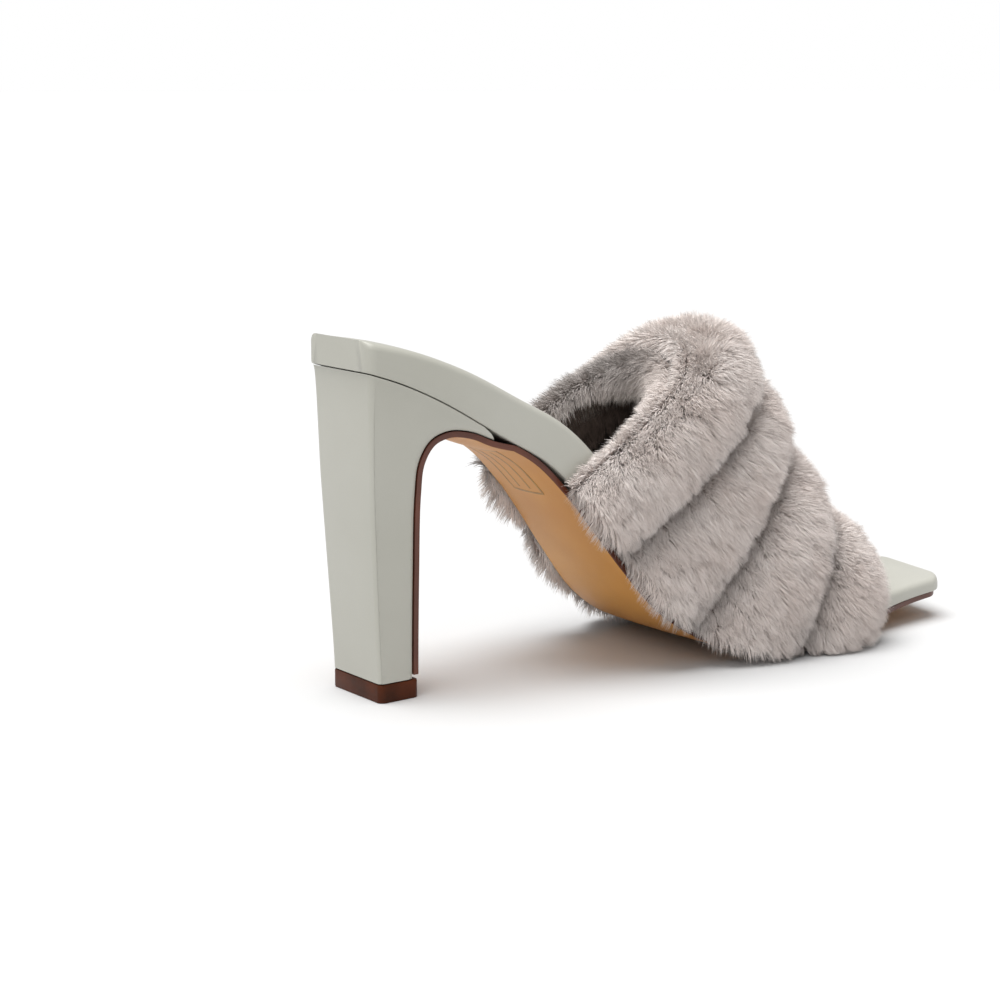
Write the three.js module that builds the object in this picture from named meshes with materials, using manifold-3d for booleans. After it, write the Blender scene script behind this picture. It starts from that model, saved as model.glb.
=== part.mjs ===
// A right-foot high-heeled mule: a slim block heel, a covered and padded insole, a thin outsole
// that runs down the heel breast, and a vamp of four padded fur rolls on a fabric lining.
//
// Millimetres. +X runs from heel to toe, +Y to the wearer's left (the inner side of the foot)
// and +Z up. The origin is the centre of the heel tip's ground face.

import * as THREE from "three";
import { mergeVertices } from "three/addons/utils/BufferGeometryUtils.js";
import Module from "manifold-3d";

const wasm = await Module();
wasm.setup();

// ---------------------------------------------------------------- driving dimensions

const shoeLength = 227; // back of the seat to the front of the toe, along X
const seatHeight = 96.5; // ground to the insole's underside at the back of the seat
const seatOverhang = 12.1; // how far the seat reaches behind the heel tip's centre

const gap = 0.3; // clearance between pieces that touch
const coverThickness = 0.9; // synthetic leather on the insole and the heel
const coverLip = 9; // how far the insole cover is turned in underneath
const foamInset = 0.6; // foam pad's edge, inside the cover's wall
const boardShare = 0.45; // insole board's share of what the cover wraps
const edgeRound = 2.2; // round along the insole's upper edge
const lowerRound = 0.7; // round along its lower edge
const seatCorner = 3; // plan radius of the seat's back corners
const toeCorner = 6; // plan radius of the toe's corners
const toeSkew = 0.19; // slant of the toe's front edge, inner side further forward

const outsoleThickness = 1.8;
const outsoleInset = 1.3; // outsole's edge, inside the insole's edge
const marginSpace = 1.6; // room for the turned-in upper between insole and outsole
const marginThickness = 1.0;
const marginWidth = 12;
const waistCrown = 1.6; // how far the outsole bows down across the waist

const tipThickness = 5.5;
const tipDepth = 14; // along X
const tipHalfWidth = 13.6; // at its back edge
const breastTaper = 1.2; // the heel's front is this much narrower per side at the ground
const heelCorner = 1.8; // round along the heel's upright corners
const heelUnderSeat = 0.6; // the heel's faces, inside the insole's edge at the seat
const heelBackBow = 0.5; // how far the back's middle stands behind a straight line
const breastX = 5.3; // upper face of the outsole on the heel breast
const flapInset = 0.7; // the outsole's flap, inside the heel's front edge
const noseReach = 31; // how far forward the heel runs under the seat
const noseRound = 3; // stretch over which the heel's top falls to its front edge
const coreNoseBack = 1.5; // how far the core stops short of the cover's thin nose
const seatUpright = 25; // stretch over which the insole's sections turn from upright to square
const pinRadius = 1.6; // dowel that holds the tip
const pinLength = 15;
const pinInTip = 3.2;

const screwRadius = 2;
const screwLength = 26;
const screwHeadRadius = 3.6;
const nailRadius = 0.9;
const nailLength = 16;
const nailHeadRadius = 1.8;
const headThickness = 1.0;
const holeClearance = 0.3;
const seatScrewX = 5; // where the heel screw goes through the insole
const nailAlong = 6; // nails from the heel screw
const nailAcross = 5.4;

const shankWidth = 8;
const shankThickness = 0.9;
const shankStart = coverLip + gap + 1; // distances along the insole's underside, from its back edge
const shankEnd = 112;
const rivetRadius = 1.5;
const rivetStations = [32, 96];

// Each seam across the vamp: where it meets the insole's edge, and from there how far forward
// and how high its arch rises at the top of the foot.
const seamPlaces = [57, 73, 97, 133, 169];
const archTops = [[46, 32], [57, 44], [44, 50.5], [22, 38], [7, 14.5]];
const archFullness = 2.3; // 2 is an ellipse, more is squarer
const archBelly = 2.2; // extra width half-way up
const hemDrops = [5, 5, 4, 2.6, 2.6]; // how far each arch runs on below the insole's underside
const rollSwell = [[8, 15], [7, 7.5], [7, 7], [6.5, 7]]; // puff above a groove, at side and top
const facingPile = 3.2;
const facingSkip = 2; // arch sections left out at each end of the turned-in fur
const liningThickness = 0.9;
const liningOutside = 2.1; // the lining's outer face, outside the insole's edge
const pileDepth = 7.5; // fur fabric: backing and pile together
const grooveDepthLeft = 4.6; // fur above the lining in the stitched grooves
const grooveWidth = 0.5;
const padEdge = 0.14; // share of a roll's width that its seam takes at each side
const thinnestPad = 0.7; // wadding's outside above the lining, where it thins out

// ---------------------------------------------------------------- shared curves

// The curves below are drawn for these sizes, with x counted from designBack at the seat's back.
const designLength = 227;
const designHeight = 96.5;
const designBack = -11.5;
const along = (x) => -seatOverhang + ((x - designBack) * shoeLength) / designLength;
const rise = (z) => (z * seatHeight) / designHeight;

// Smooth curve through [x, value] pairs, read off at any x.
function profile(pairs) {
  const curve = new THREE.CatmullRomCurve3(
    pairs.map(([x, value]) => new THREE.Vector3(along(x), value, 0)),
    false,
    "centripetal",
  );
  const samples = curve.getPoints(pairs.length * 12);
  return (x) => {
    const next = samples.findIndex((p) => p.x >= x);
    if (next <= 0) return next === 0 ? samples[0].y : samples.at(-1).y;
    const [a, b] = [samples[next - 1], samples[next]];
    return a.y + ((b.y - a.y) * (x - a.x)) / (b.x - a.x);
  };
}

const onSide = (x, z) => new THREE.Vector3(along(x), 0, rise(z));

// The insole's underside, from the back of the seat to the toe, seen from the side.
const insoleLine = new THREE.CatmullRomCurve3(
  [
    onSide(-11.5, 96.5),
    onSide(0, 92.6),
    onSide(14, 86.2),
    onSide(34, 74.7),
    onSide(48, 66.7),
    onSide(58, 57.8),
    onSide(66.5, 47.5),
    onSide(77, 34),
    onSide(90, 19.5),
    onSide(106, 9.3),
    onSide(124, 4.6),
    onSide(142, 3.5),
    onSide(176, 7),
    onSide(196, 8.6),
    onSide(215.5, 9.4),
  ],
  false,
  "centripetal",
);
insoleLine.arcLengthDivisions = 600;
const insoleLength = insoleLine.getLength();

const outerEdge = profile([
  [-11.5, 17.2], [8, 17.8], [34, 18.4], [57, 20], [76, 21.8], [97, 24.6], [115, 28],
  [133, 30.7], [150, 30.8], [169, 27.8], [190, 22.4], [215.5, 16.6],
]);
const innerEdge = profile([
  [-11.5, 17.2], [8, 17.8], [34, 18.6], [57, 20], [76, 22.8], [97, 28.2], [115, 32.8],
  [130, 35.6], [150, 35.3], [169, 32], [190, 28.4], [215.5, 25.4],
]);
const insoleThickness = profile([
  [-11.5, 8.8], [4, 10.2], [24, 12], [48, 12.6], [62, 11.8], [80, 9.4], [100, 7],
  [130, 5.8], [180, 5], [215.5, 4.4],
]);

// A place on a side-view curve with its forward direction and its normal, which points up.
function frameOn(curve, share) {
  const point = curve.getPointAt(share);
  const forward = curve.getTangentAt(share);
  const up = new THREE.Vector3(-forward.z, 0, forward.x);
  return { point, forward, up };
}

// The layers of the bottom all have their sections at these places, so that their facets nest.
const sectionCount = 28;
const steps = (count) => Array.from({ length: count + 1 }, (_, i) => i / count);
// The seat's back face is upright, so the first of them lean back from the line's normal.
const sections = steps(sectionCount).map((share) => {
  const distance = share * insoleLength;
  const frame = frameOn(insoleLine, share);
  const square = THREE.MathUtils.smoothstep(distance, 0, seatUpright);
  frame.up = new THREE.Vector3(0, 0, 1).lerp(frame.up, square).normalize();
  return { distance, ...frame };
});

// The frame at any distance along the insole's underside, on the facet between two sections.
function insoleFrame(distance) {
  const place = THREE.MathUtils.clamp(distance / insoleLength, 0, 1) * sectionCount;
  const low = Math.min(Math.floor(place), sectionCount - 1);
  const [a, b] = [sections[low], sections[low + 1]];
  const between = (key) => a[key].clone().lerp(b[key], place - low);
  return { point: between("point"), forward: between("forward"), up: between("up") };
}

// The distance along the insole's underside at which it reaches x.
function distanceAt(x) {
  let [low, high] = [0, insoleLength];
  for (let i = 0; i < 30; i += 1) {
    const middle = (low + high) / 2;
    if (insoleFrame(middle).point.x < x) low = middle;
    else high = middle;
  }
  return (low + high) / 2;
}

// ---------------------------------------------------------------- solids from sections

// Joins a row of sections into one closed body. Each section is a ring of 2n points: n along
// one face and n back along the other, so the end caps are strips from face to face.
function loft(rings) {
  const size = rings[0].length;
  const half = size / 2;
  const positions = rings.flatMap((ring) => ring.flatMap((p) => [p.x, p.y, p.z]));
  const index = [];
  for (let r = 0; r < rings.length - 1; r += 1) {
    for (let i = 0; i < size; i += 1) {
      const a = r * size + i;
      const b = r * size + ((i + 1) % size);
      index.push(a, b, b + size, a, b + size, a + size);
    }
  }
  const last = (rings.length - 1) * size;
  for (let i = 0; i < half - 1; i += 1) {
    const [a, b, c, d] = [i, i + 1, size - 2 - i, size - 1 - i];
    index.push(a, c, b, a, d, c);
    index.push(last + a, last + b, last + c, last + a, last + c, last + d);
  }
  const geometry = new THREE.BufferGeometry();
  geometry.setAttribute("position", new THREE.Float32BufferAttribute(positions, 3));
  geometry.setIndex(index);
  return facingOut(geometry);
}

// Turns a closed body's faces round if they point inwards.
function facingOut(geometry) {
  const position = geometry.getAttribute("position");
  const index = geometry.getIndex().array;
  const corner = (i) => new THREE.Vector3().fromBufferAttribute(position, index[i]);
  let volume = 0;
  for (let i = 0; i < index.length; i += 3) {
    volume += corner(i).dot(corner(i + 1).cross(corner(i + 2)));
  }
  if (volume < 0) {
    for (let i = 0; i < index.length; i += 3) {
      [index[i + 1], index[i + 2]] = [index[i + 2], index[i + 1]];
    }
  }
  return geometry;
}

function toSolid(geometry) {
  const bare = geometry.clone();
  bare.deleteAttribute("normal");
  bare.deleteAttribute("uv");
  const merged = mergeVertices(bare, 1e-4);
  return new wasm.Manifold(
    new wasm.Mesh({
      numProp: 3,
      vertProperties: merged.getAttribute("position").array,
      triVerts: new Uint32Array(merged.getIndex().array),
    }),
  );
}

function toGeometry(solid) {
  const mesh = solid.getMesh();
  const geometry = new THREE.BufferGeometry();
  geometry.setAttribute("position", new THREE.BufferAttribute(mesh.vertProperties, 3));
  geometry.setIndex(new THREE.BufferAttribute(mesh.triVerts, 1));
  return geometry;
}

const cut = (geometry, ...tools) =>
  toGeometry(tools.reduce((solid, tool) => solid.subtract(toSolid(tool)), toSolid(geometry)));

// ---------------------------------------------------------------- insole, outsole and what lies between

const mix = THREE.MathUtils.lerp;

// A point of a side-view frame, moved across by y and out along its normal by h.
function offset(frame, y, h, skew = 0) {
  const across = new THREE.Vector3(skew * y, y, 0);
  return frame.point.clone().addScaledVector(frame.up, h).add(across);
}

// Section across a flat piece: over its rounded upper face, then back along its lower face.
function slabRing(frame, { outer, inner, bottom, top, round, lowRound, skew, crown = 0 }) {
  const low = bottom + Math.min(lowRound, (top - bottom) * 0.3);
  const r = Math.min(round, (top - bottom) * 0.6);
  const corner = [0, 45, 90].map((a) => THREE.MathUtils.degToRad(a));
  const rounded = corner.map((a) => [r * (1 - Math.cos(a)), top - r * (1 - Math.sin(a))]);
  const upper = [
    [-outer, low],
    ...rounded.map(([y, h]) => [y - outer, h]),
    [mix(-outer, inner, 0.35), top],
    [mix(-outer, inner, 0.65), top],
    ...rounded.reverse().map(([y, h]) => [inner - y, h]),
    [inner, low],
  ];
  const lowEdge = low - bottom;
  const lower = upper.map((_, i) => {
    const y = mix(inner - lowEdge, lowEdge - outer, i / (upper.length - 1));
    const share = (2 * i) / (upper.length - 1) - 1;
    return [y, bottom - crown * (1 - share * share)];
  });
  return [...upper, ...lower].map(([y, h]) => offset(frame, y, h, skew));
}

// Half-width lost near an end whose plan corners are round.
const cornerLoss = (distance, radius) =>
  distance >= radius ? 0 : radius - Math.sqrt(radius * radius - (radius - distance) ** 2);

// Distances from one end of a piece to the other: the shared sections, and more of them in its
// rounded ends.
function stations(from, to, startRound, endRound) {
  const inEnd = [0, 0.12, 0.45, 1];
  const all = [
    ...inEnd.map((s) => from + s * startRound),
    ...sections.map(({ distance }) => distance),
    ...inEnd.map((s) => to - s * endRound),
  ];
  const inside = all.filter((distance) => distance >= from && distance <= to);
  return inside.sort((a, b) => a - b).filter((d, i, list) => i === 0 || d - list[i - 1] > 0.02);
}

// A flat piece along the insole line, its edge inset from the insole's edge. It keeps the plan
// corners of the seat and the toe where it reaches them.
function insoleSlab({ from, to, inset, bottom, top, round = 0.4, lowRound = 0.3 }) {
  const startRound = from < seatCorner * 2 ? seatCorner : 2;
  const endRound = to > insoleLength - toeCorner * 2 ? toeCorner : 2;
  const rings = stations(from, to, startRound, endRound).map((distance) => {
    const frame = insoleFrame(distance);
    const { x } = frame.point;
    const loss = Math.max(
      cornerLoss(distance - from, startRound),
      cornerLoss(to - distance, endRound),
    );
    return slabRing(frame, {
      outer: outerEdge(x) - inset - loss,
      inner: innerEdge(x) - inset - loss,
      bottom: bottom(x),
      top: top(x),
      round,
      lowRound,
      skew: toeSkew * THREE.MathUtils.smoothstep(distance, insoleLength * 0.72, insoleLength),
    });
  });
  return loft(rings);
}

const lipHeight = coverThickness + gap;
const boardTop = (x) => mix(lipHeight, insoleThickness(x) - coverThickness, boardShare);
const wall = coverThickness + gap;

function insoleCover() {
  const whole = { from: 0, to: insoleLength, inset: 0, round: edgeRound, lowRound: lowerRound };
  const outside = insoleSlab({ ...whole, bottom: () => 0, top: insoleThickness });
  const inside = insoleSlab({
    from: coverThickness,
    to: insoleLength - coverThickness,
    inset: coverThickness,
    bottom: () => coverThickness,
    top: (x) => insoleThickness(x) - coverThickness,
    round: edgeRound - coverThickness,
  });
  const window = insoleSlab({
    from: coverLip,
    to: insoleLength - coverLip,
    inset: coverLip,
    bottom: () => -1,
    top: () => coverThickness + 0.5,
  });
  return cut(outside, inside, window);
}

function insoleFoam() {
  return insoleSlab({
    from: wall + foamInset,
    to: insoleLength - wall - foamInset,
    inset: wall + foamInset,
    bottom: (x) => boardTop(x) + gap,
    top: (x) => insoleThickness(x) - wall,
    round: 1.2,
  });
}

// A round piece or a round cutter that stands on the insole line's normal.
function turned(profilePoints, distance, y) {
  const { point, forward, up } = insoleFrame(distance);
  const geometry = new THREE.LatheGeometry(profilePoints, 12);
  geometry.rotateX(Math.PI / 2);
  const place = new THREE.Matrix4().makeBasis(forward, new THREE.Vector3(0, 1, 0), up);
  place.setPosition(point.x, y, point.z);
  return facingOut(geometry.applyMatrix4(place));
}

// Headed fastener: its head is flush with the insole board, its shank goes down from there.
// A grown copy of it, longer than the real one, is the cutter for its holes.
function fastener({ distance, y, radius, headRadius, length, point = 0 }, grow = 0) {
  const top = boardTop(insoleFrame(distance).point.x);
  const corner = (r, h) => new THREE.Vector2(r, h);
  const outline = [
    corner(0, top - length - grow),
    corner(mix(radius, 0.2, point) + grow, top - length - grow),
    corner(radius + grow, top - length + point * 3 * radius),
    corner(radius + grow, top - headThickness - grow),
    corner(headRadius + grow, top - headThickness - grow),
    corner(headRadius + grow, top + grow * 3),
    corner(0, top + grow * 3),
  ];
  return turned(outline, distance, y);
}

const seatCentre = distanceAt(seatScrewX);
const heelScrew = {
  distance: seatCentre,
  y: 0,
  radius: screwRadius,
  headRadius: screwHeadRadius,
  length: screwLength,
  point: 0.8,
};
const heelNails = [
  [-nailAlong, -nailAcross], [nailAlong, -nailAcross],
  [-nailAlong, nailAcross], [nailAlong, nailAcross],
].map(([d, y]) => ({
  distance: seatCentre + d,
  y,
  radius: nailRadius,
  headRadius: nailHeadRadius,
  length: nailLength,
  point: 0.9,
}));
const rivets = rivetStations.map((distance) => ({
  distance,
  y: 0,
  radius: rivetRadius,
  headRadius: rivetRadius * 1.8,
  length: boardTop(insoleFrame(distance).point.x) - lipHeight + gap + shankThickness,
}));
const boardHoles = [heelScrew, ...heelNails, ...rivets].map((f) => fastener(f, holeClearance));

function insoleBoard() {
  const board = insoleSlab({
    from: wall,
    to: insoleLength - wall,
    inset: wall,
    bottom: () => lipHeight,
    top: boardTop,
  });
  return cut(board, ...boardHoles);
}

// Spring-steel strip under the board, from the heel seat to just behind the ball.
function shank() {
  const half = shankWidth / 2;
  const top = lipHeight - gap;
  const bottom = top - shankThickness;
  const rings = stations(shankStart, shankEnd, 1, 1).map((distance) => {
    const frame = insoleFrame(distance);
    const corners = [[-half, top], [half, top], [half, bottom], [-half, bottom]];
    return corners.map(([y, h]) => offset(frame, y, h));
  });
  return cut(loft(rings), ...boardHoles);
}

// Clear height between the insole's underside and the outsole: room for the turned-in upper
// under the vamp, and a bare clearance elsewhere.
const vampStart = seamPlaces[0];
const vampEnd = seamPlaces.at(-1);
function underRoom(x) {
  const { smoothstep } = THREE.MathUtils;
  const share = smoothstep(x, along(vampStart - 16), along(vampStart + 2)) *
    (1 - smoothstep(x, along(vampEnd + 1), along(vampEnd + 12)));
  return mix(gap, marginSpace, share);
}

// Sections of the outsole under the insole, from in front of the heel to the toe.
const archReach = 38; // how far forward the arch in front of the heel runs
const underInsole = sections
  .filter(({ point }) => point.x > along(archReach))
  .map(({ point, forward, up }) => ({
    point: point.clone().addScaledVector(up, -underRoom(point.x)),
    forward,
    up,
  }));
const toeEnd = insoleFrame(insoleLength - 1);
toeEnd.point.addScaledVector(toeEnd.up, -gap);
underInsole[underInsole.length - 1] = toeEnd;

// The outsole's upper face from the foot of the heel breast over the arch.
const breastFoot = tipThickness + 1.2;
const archLine = new THREE.CatmullRomCurve3(
  [
    new THREE.Vector3(breastX + 0.3, 0, breastFoot),
    new THREE.Vector3(breastX, 0, mix(breastFoot, rise(66), 0.5)),
    new THREE.Vector3(breastX, 0, rise(60)),
    onSide(7, 69.5),
    onSide(10.8, 75.4),
    onSide(16.8, 77.6),
    onSide(24, 76.7),
    onSide(31, 73.9),
    underInsole[0].point,
  ],
  false,
  "centripetal",
);

// The share of the arch line's length that lies behind the heel's nose.
const noseShare = steps(400).find((s) => archLine.getPointAt(s).x > along(noseReach));
const heelLevels = [0, 0.2, 0.4, 0.6, 0.66, 0.71, 0.75, 0.79, 0.83, 0.88, 0.94, 1];
const archFrames = heelLevels.map((t) => frameOn(archLine, t * noseShare));

// ---------------------------------------------------------------- heel

// Side view of the heel at height share t: where its back and its front edges are.
function heelEdges(t) {
  const { point, up } = frameOn(archLine, t * noseShare);
  const backShare = t ** 0.9;
  const bow = heelBackBow * Math.sin(Math.PI * backShare);
  const back = new THREE.Vector3(
    mix(-tipDepth / 2, -seatOverhang + heelUnderSeat, backShare ** 1.2) - bow,
    0,
    mix(tipThickness + gap, sections[0].point.z - gap, backShare),
  );
  const front = point.addScaledVector(up, gap);
  if (t === 0) front.z = back.z;
  return { back, front };
}

// Half-width of the heel: at share c from its back to its front and share t of its height.
function heelHalfWidth(c, t, x) {
  const foot = tipHalfWidth - breastTaper * c;
  const seat = Math.min(outerEdge(x), innerEdge(x)) - heelUnderSeat;
  return mix(foot, seat, t ** 1.25);
}

// Horizontal section of the heel, which tilts with the seat towards the top.
function heelRing(t, inset, lift, noseBack = 0) {
  const { back, front } = heelEdges(t);
  const reach = front.x - back.x;
  const from = inset / reach;
  const { smoothstep } = THREE.MathUtils;
  const to = 1 - (inset + noseBack * smoothstep(t, 0.6, 1)) / reach;
  const r = Math.max(heelCorner - inset, 0.4);
  const corner = [0, 45, 90].map((a) => THREE.MathUtils.degToRad(a));
  const path = [
    ...corner.map((a) => [from + (r * (1 - Math.cos(a))) / reach, r * (1 - Math.sin(a))]),
    ...[0.33, 0.67].map((s) => [mix(from, to, s), 0]),
    ...corner.reverse().map((a) => [to - (r * (1 - Math.cos(a))) / reach, r * (1 - Math.sin(a))]),
  ];
  const side = path.map(([c, loss]) => {
    const behindNose = 1 - smoothstep(c * reach, reach - noseRound, reach);
    const seatShare = smoothstep(t, 0.6, 1) * behindNose;
    const chord = back.clone().lerp(front, c);
    const seat = insoleFrame(distanceAt(chord.x));
    const onSeat = chord.clone().setZ(seat.point.z - gap * 1.2);
    const place = chord.lerp(onSeat, seatShare);
    place.z += lift;
    return [place, heelHalfWidth(c, t, place.x) - inset - loss];
  });
  const outerSide = side.map(([p, w]) => p.clone().setY(-w));
  const innerSide = side.map(([p, w]) => p.clone().setY(w)).reverse();
  return [...outerSide, ...innerSide];
}

// The heel's solid, set in from its faces and grown past its ends by a lift.
function heelSolid(inset, grow = 0, trim = 0, noseBack = 0) {
  const rings = heelLevels.map((t) => heelRing(t, inset, 0, noseBack));
  if (grow) {
    rings.unshift(heelRing(0, inset, -grow));
    rings.push(heelRing(1, inset, grow));
  }
  if (trim) {
    rings[0] = heelRing(0, inset, trim, noseBack);
    rings[rings.length - 1] = heelRing(1, inset, -trim, noseBack);
  }
  return loft(rings);
}

// Thin covering, open above and below, whose edges turn in on the breast under the outsole.
function heelCover() {
  const height = insoleLine.getPointAt(0).z * 1.1;
  const lip = 3.5;
  const windowWidth = 2 * (tipHalfWidth - breastTaper - lip);
  const window = new THREE.BoxGeometry(tipDepth + 40, windowWidth, height * 2);
  window.translate(breastX - 2 + (tipDepth + 40) / 2, 0, 0);
  return cut(heelSolid(0), heelSolid(coverThickness, 4), window);
}

const pinBase = tipThickness - pinInTip;
function upright(radius, bottom, top) {
  const cylinder = new THREE.CylinderGeometry(radius, radius, top - bottom, 14);
  return cylinder.rotateX(Math.PI / 2).translate(0, 0, (bottom + top) / 2);
}
const pinHole = upright(pinRadius + holeClearance, pinBase - gap, pinBase + pinLength + gap);

function heelCore() {
  return cut(heelSolid(coverThickness + gap, 0, 0.3, coreNoseBack), pinHole, ...boardHoles);
}

// Replaceable hard-wearing tip with the heel's own outline, under heel and outsole flap.
function topPiece() {
  const back = -tipDepth / 2;
  const frontHalf = tipHalfWidth - breastTaper;
  const r = heelCorner;
  const shape = new THREE.Shape();
  shape.moveTo(back, -tipHalfWidth + r);
  shape.quadraticCurveTo(back, -tipHalfWidth, back + r, -tipHalfWidth + (breastTaper * r) / tipDepth);
  shape.lineTo(-back - r, -frontHalf - (breastTaper * r) / tipDepth);
  shape.quadraticCurveTo(-back, -frontHalf, -back, -frontHalf + r);
  shape.lineTo(-back, frontHalf - r);
  shape.quadraticCurveTo(-back, frontHalf, -back - r, frontHalf + (breastTaper * r) / tipDepth);
  shape.lineTo(back + r, tipHalfWidth - (breastTaper * r) / tipDepth);
  shape.quadraticCurveTo(back, tipHalfWidth, back, tipHalfWidth - r);
  shape.closePath();
  const bevel = 0.35;
  const body = new THREE.ExtrudeGeometry(shape, {
    depth: tipThickness - 2 * bevel,
    curveSegments: 5,
    bevelThickness: bevel,
    bevelSize: bevel,
    bevelOffset: -bevel,
    bevelSegments: 2,
  });
  return cut(body.translate(0, 0, bevel), pinHole);
}

// Thin sole with a bowed waist. Its rear end lies on the heel breast as a flap.
function outsole() {
  const flap = archFrames.map((frame, i) => {
    const { x } = frame.point;
    const half = heelHalfWidth(1, heelLevels[i], x) - flapInset;
    return { frame, outer: half, inner: half };
  });
  const sole = underInsole.map((frame) => {
    const { x } = frame.point;
    return { frame, outer: outerEdge(x) - outsoleInset, inner: innerEdge(x) - outsoleInset };
  });
  const toe = [0.12, 0.45, 1].map((s) => {
    const frame = insoleFrame(insoleLength - 1 - s * toeCorner);
    frame.point.addScaledVector(frame.up, -gap);
    const { x } = frame.point;
    return { frame, outer: outerEdge(x) - outsoleInset, inner: innerEdge(x) - outsoleInset };
  });
  const front = [...sole, ...toe].sort((a, b) => a.frame.point.x - b.frame.point.x);
  const all = [...flap, ...front];
  const { smoothstep } = THREE.MathUtils;
  const rings = all.map(({ frame, outer, inner }) => {
    const { x } = frame.point;
    const loss = cornerLoss(Math.max(toeEnd.point.x - x, 0), toeCorner);
    const waist = smoothstep(x, along(12), along(44)) * (1 - smoothstep(x, along(84), along(118)));
    return slabRing(frame, {
      outer: outer - loss,
      inner: inner - loss,
      bottom: -outsoleThickness,
      top: 0,
      round: 0.1,
      lowRound: 0.5,
      skew: toeSkew * smoothstep(x, along(168), along(215)),
      crown: waistCrown * waist,
    });
  });
  return loft(rings);
}

// Turned-in edge of the upper, cemented under one side of the insole.
function lastingMargin(side) {
  const from = distanceAt(along(vampStart + 5));
  const to = distanceAt(along(vampEnd - 3));
  const edge = side < 0 ? outerEdge : innerEdge;
  const rings = stations(from, to, 1, 1).map((distance) => {
    const frame = insoleFrame(distance);
    const at = edge(frame.point.x) - outsoleInset;
    const top = -gap;
    const corner = (y, h) => offset(frame, side * y, h);
    return [
      corner(at, top), corner(at - marginWidth, top),
      corner(at - marginWidth, top - marginThickness), corner(at, top - marginThickness),
    ];
  });
  return loft(rings);
}

function bottomFiller() {
  const inset = outsoleInset + marginWidth + 1;
  return insoleSlab({
    from: shankEnd + 3,
    to: distanceAt(along(vampEnd - 3)),
    inset,
    bottom: () => gap - marginSpace,
    top: () => lipHeight - gap,
  });
}

// ---------------------------------------------------------------- vamp

// One arch over the foot for each seam. It stands on the insole's two edges at its place and
// leans forward: reach and height lead from the insole's underside to the arch's top.
const arches = seamPlaces.map((x, i) => {
  const base = insoleFrame(distanceAt(along(x))).point;
  const [reach, height] = archTops[i];
  const lean = new THREE.Vector3((reach * shoeLength) / designLength, 0, height);
  const outer = outerEdge(base.x) + liningOutside;
  const inner = innerEdge(base.x) + liningOutside;
  return { base, lean, outer, inner, drop: hemDrops[i] };
});
const hemAngle = 0.15; // radians past the insole's edge that stand for an arch's whole drop

// A point of the lining's outer face: u counts seams from the mouth, angle runs from the outer
// hem (0) over the foot to the inner hem (180 degrees).
function onVamp(u, angle) {
  const power = 2 / archFullness;
  const cos = Math.cos(angle);
  const up = Math.abs(Math.sin(angle)) ** power;
  const across = -Math.sign(cos) * Math.abs(cos) ** power;
  const past = Math.max(-angle, angle - Math.PI, 0) / hemAngle;
  const points = arches.map(({ base, lean, outer, inner, drop }) => {
    const middle = (inner - outer) / 2;
    const belly = past > 0 ? 0 : archBelly * Math.sin(2 * angle);
    const reachUp = past > 0 ? (-past * drop) / lean.length() : up;
    const point = base.clone().addScaledVector(lean, reachUp);
    return point.setY(middle + ((past > 0 ? Math.sign(across) : across) * (inner + outer)) / 2 - belly);
  });
  return new THREE.CatmullRomCurve3(points, false, "centripetal").getPoint(u / (points.length - 1));
}

// The same point, raised off the lining by h.
function offVamp(u, angle, h) {
  const step = 0.02;
  const low = Math.max(angle, 0.03);
  const at = Math.min(low, Math.PI - 0.03);
  const last = arches.length - 1;
  const alongU = onVamp(Math.min(u + step, last), at).sub(onVamp(Math.max(u - step, 0), at));
  const alongA = onVamp(u, at + step).sub(onVamp(u, at - step));
  const normal = alongU.cross(alongA).normalize();
  return onVamp(u, angle).addScaledVector(normal, h);
}

const rollCount = seamPlaces.length - 1;
const bump = (v) => Math.max(1 - (2 * v - 1) ** 2, 0) ** 0.6;

// Height of a roll's fur above the lining, at share v of its width.
function rollHeight(roll, v, angle) {
  const [atSide, onTop] = rollSwell[roll];
  return grooveDepthLeft + mix(atSide, onTop, Math.sin(angle) ** 2) * bump(v);
}

// Every layer of the vamp has its sections at these angles and these shares of a roll's width,
// so that their facets nest.
const archAngles = steps(18).map((share) => share * Math.PI);
const innerAngles = archAngles.slice(1, -1);
const rollShares = [0.25, 0.5, 0.75];

// Puffed solid over one roll's stretch of the vamp, nowhere lower on its outside than least.
function rollSolid(roll, { angles, shares, bottom, below, least }) {
  const rings = angles.map((angle) => {
    const upper = shares.map((v) => {
      const h = Math.max(rollHeight(roll, v, angle) - below, least);
      return offVamp(roll + v, angle, h);
    });
    const lower = shares.map((v) => offVamp(roll + v, angle, bottom)).reverse();
    return [...upper, ...lower];
  });
  return loft(rings);
}

function furRoll(roll) {
  const seam = grooveWidth / 60;
  const fur = rollSolid(roll, {
    angles: [-hemAngle, ...archAngles, Math.PI + hemAngle],
    shares: [seam, padEdge, ...rollShares, 1 - padEdge, 1 - seam],
    bottom: gap,
    below: 0,
    least: thinnestPad + 2 * gap,
  });
  const pocketEdge = padEdge - 0.012;
  const pocket = rollSolid(roll, {
    angles: [innerAngles[0] - 0.02, ...innerAngles.slice(1, -1), innerAngles.at(-1) + 0.02],
    shares: [pocketEdge, ...rollShares, 1 - pocketEdge],
    bottom: -3,
    below: pileDepth,
    least: thinnestPad + gap,
  });
  return cut(fur, pocket);
}

const paddingRoll = (roll) =>
  rollSolid(roll, {
    angles: innerAngles,
    shares: [padEdge, ...rollShares, 1 - padEdge],
    bottom: gap,
    below: pileDepth + gap,
    least: thinnestPad,
  });

// Thin sheet on the inside of the vamp, between two depths.
function innerSheet({ places, angles, outside, inside }) {
  const rings = angles.map((angle) => {
    const upper = places.map((u) => offVamp(u, angle, outside));
    const lower = places.map((u) => offVamp(u, angle, inside)).reverse();
    return [...upper, ...lower];
  });
  return loft(rings);
}

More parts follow.
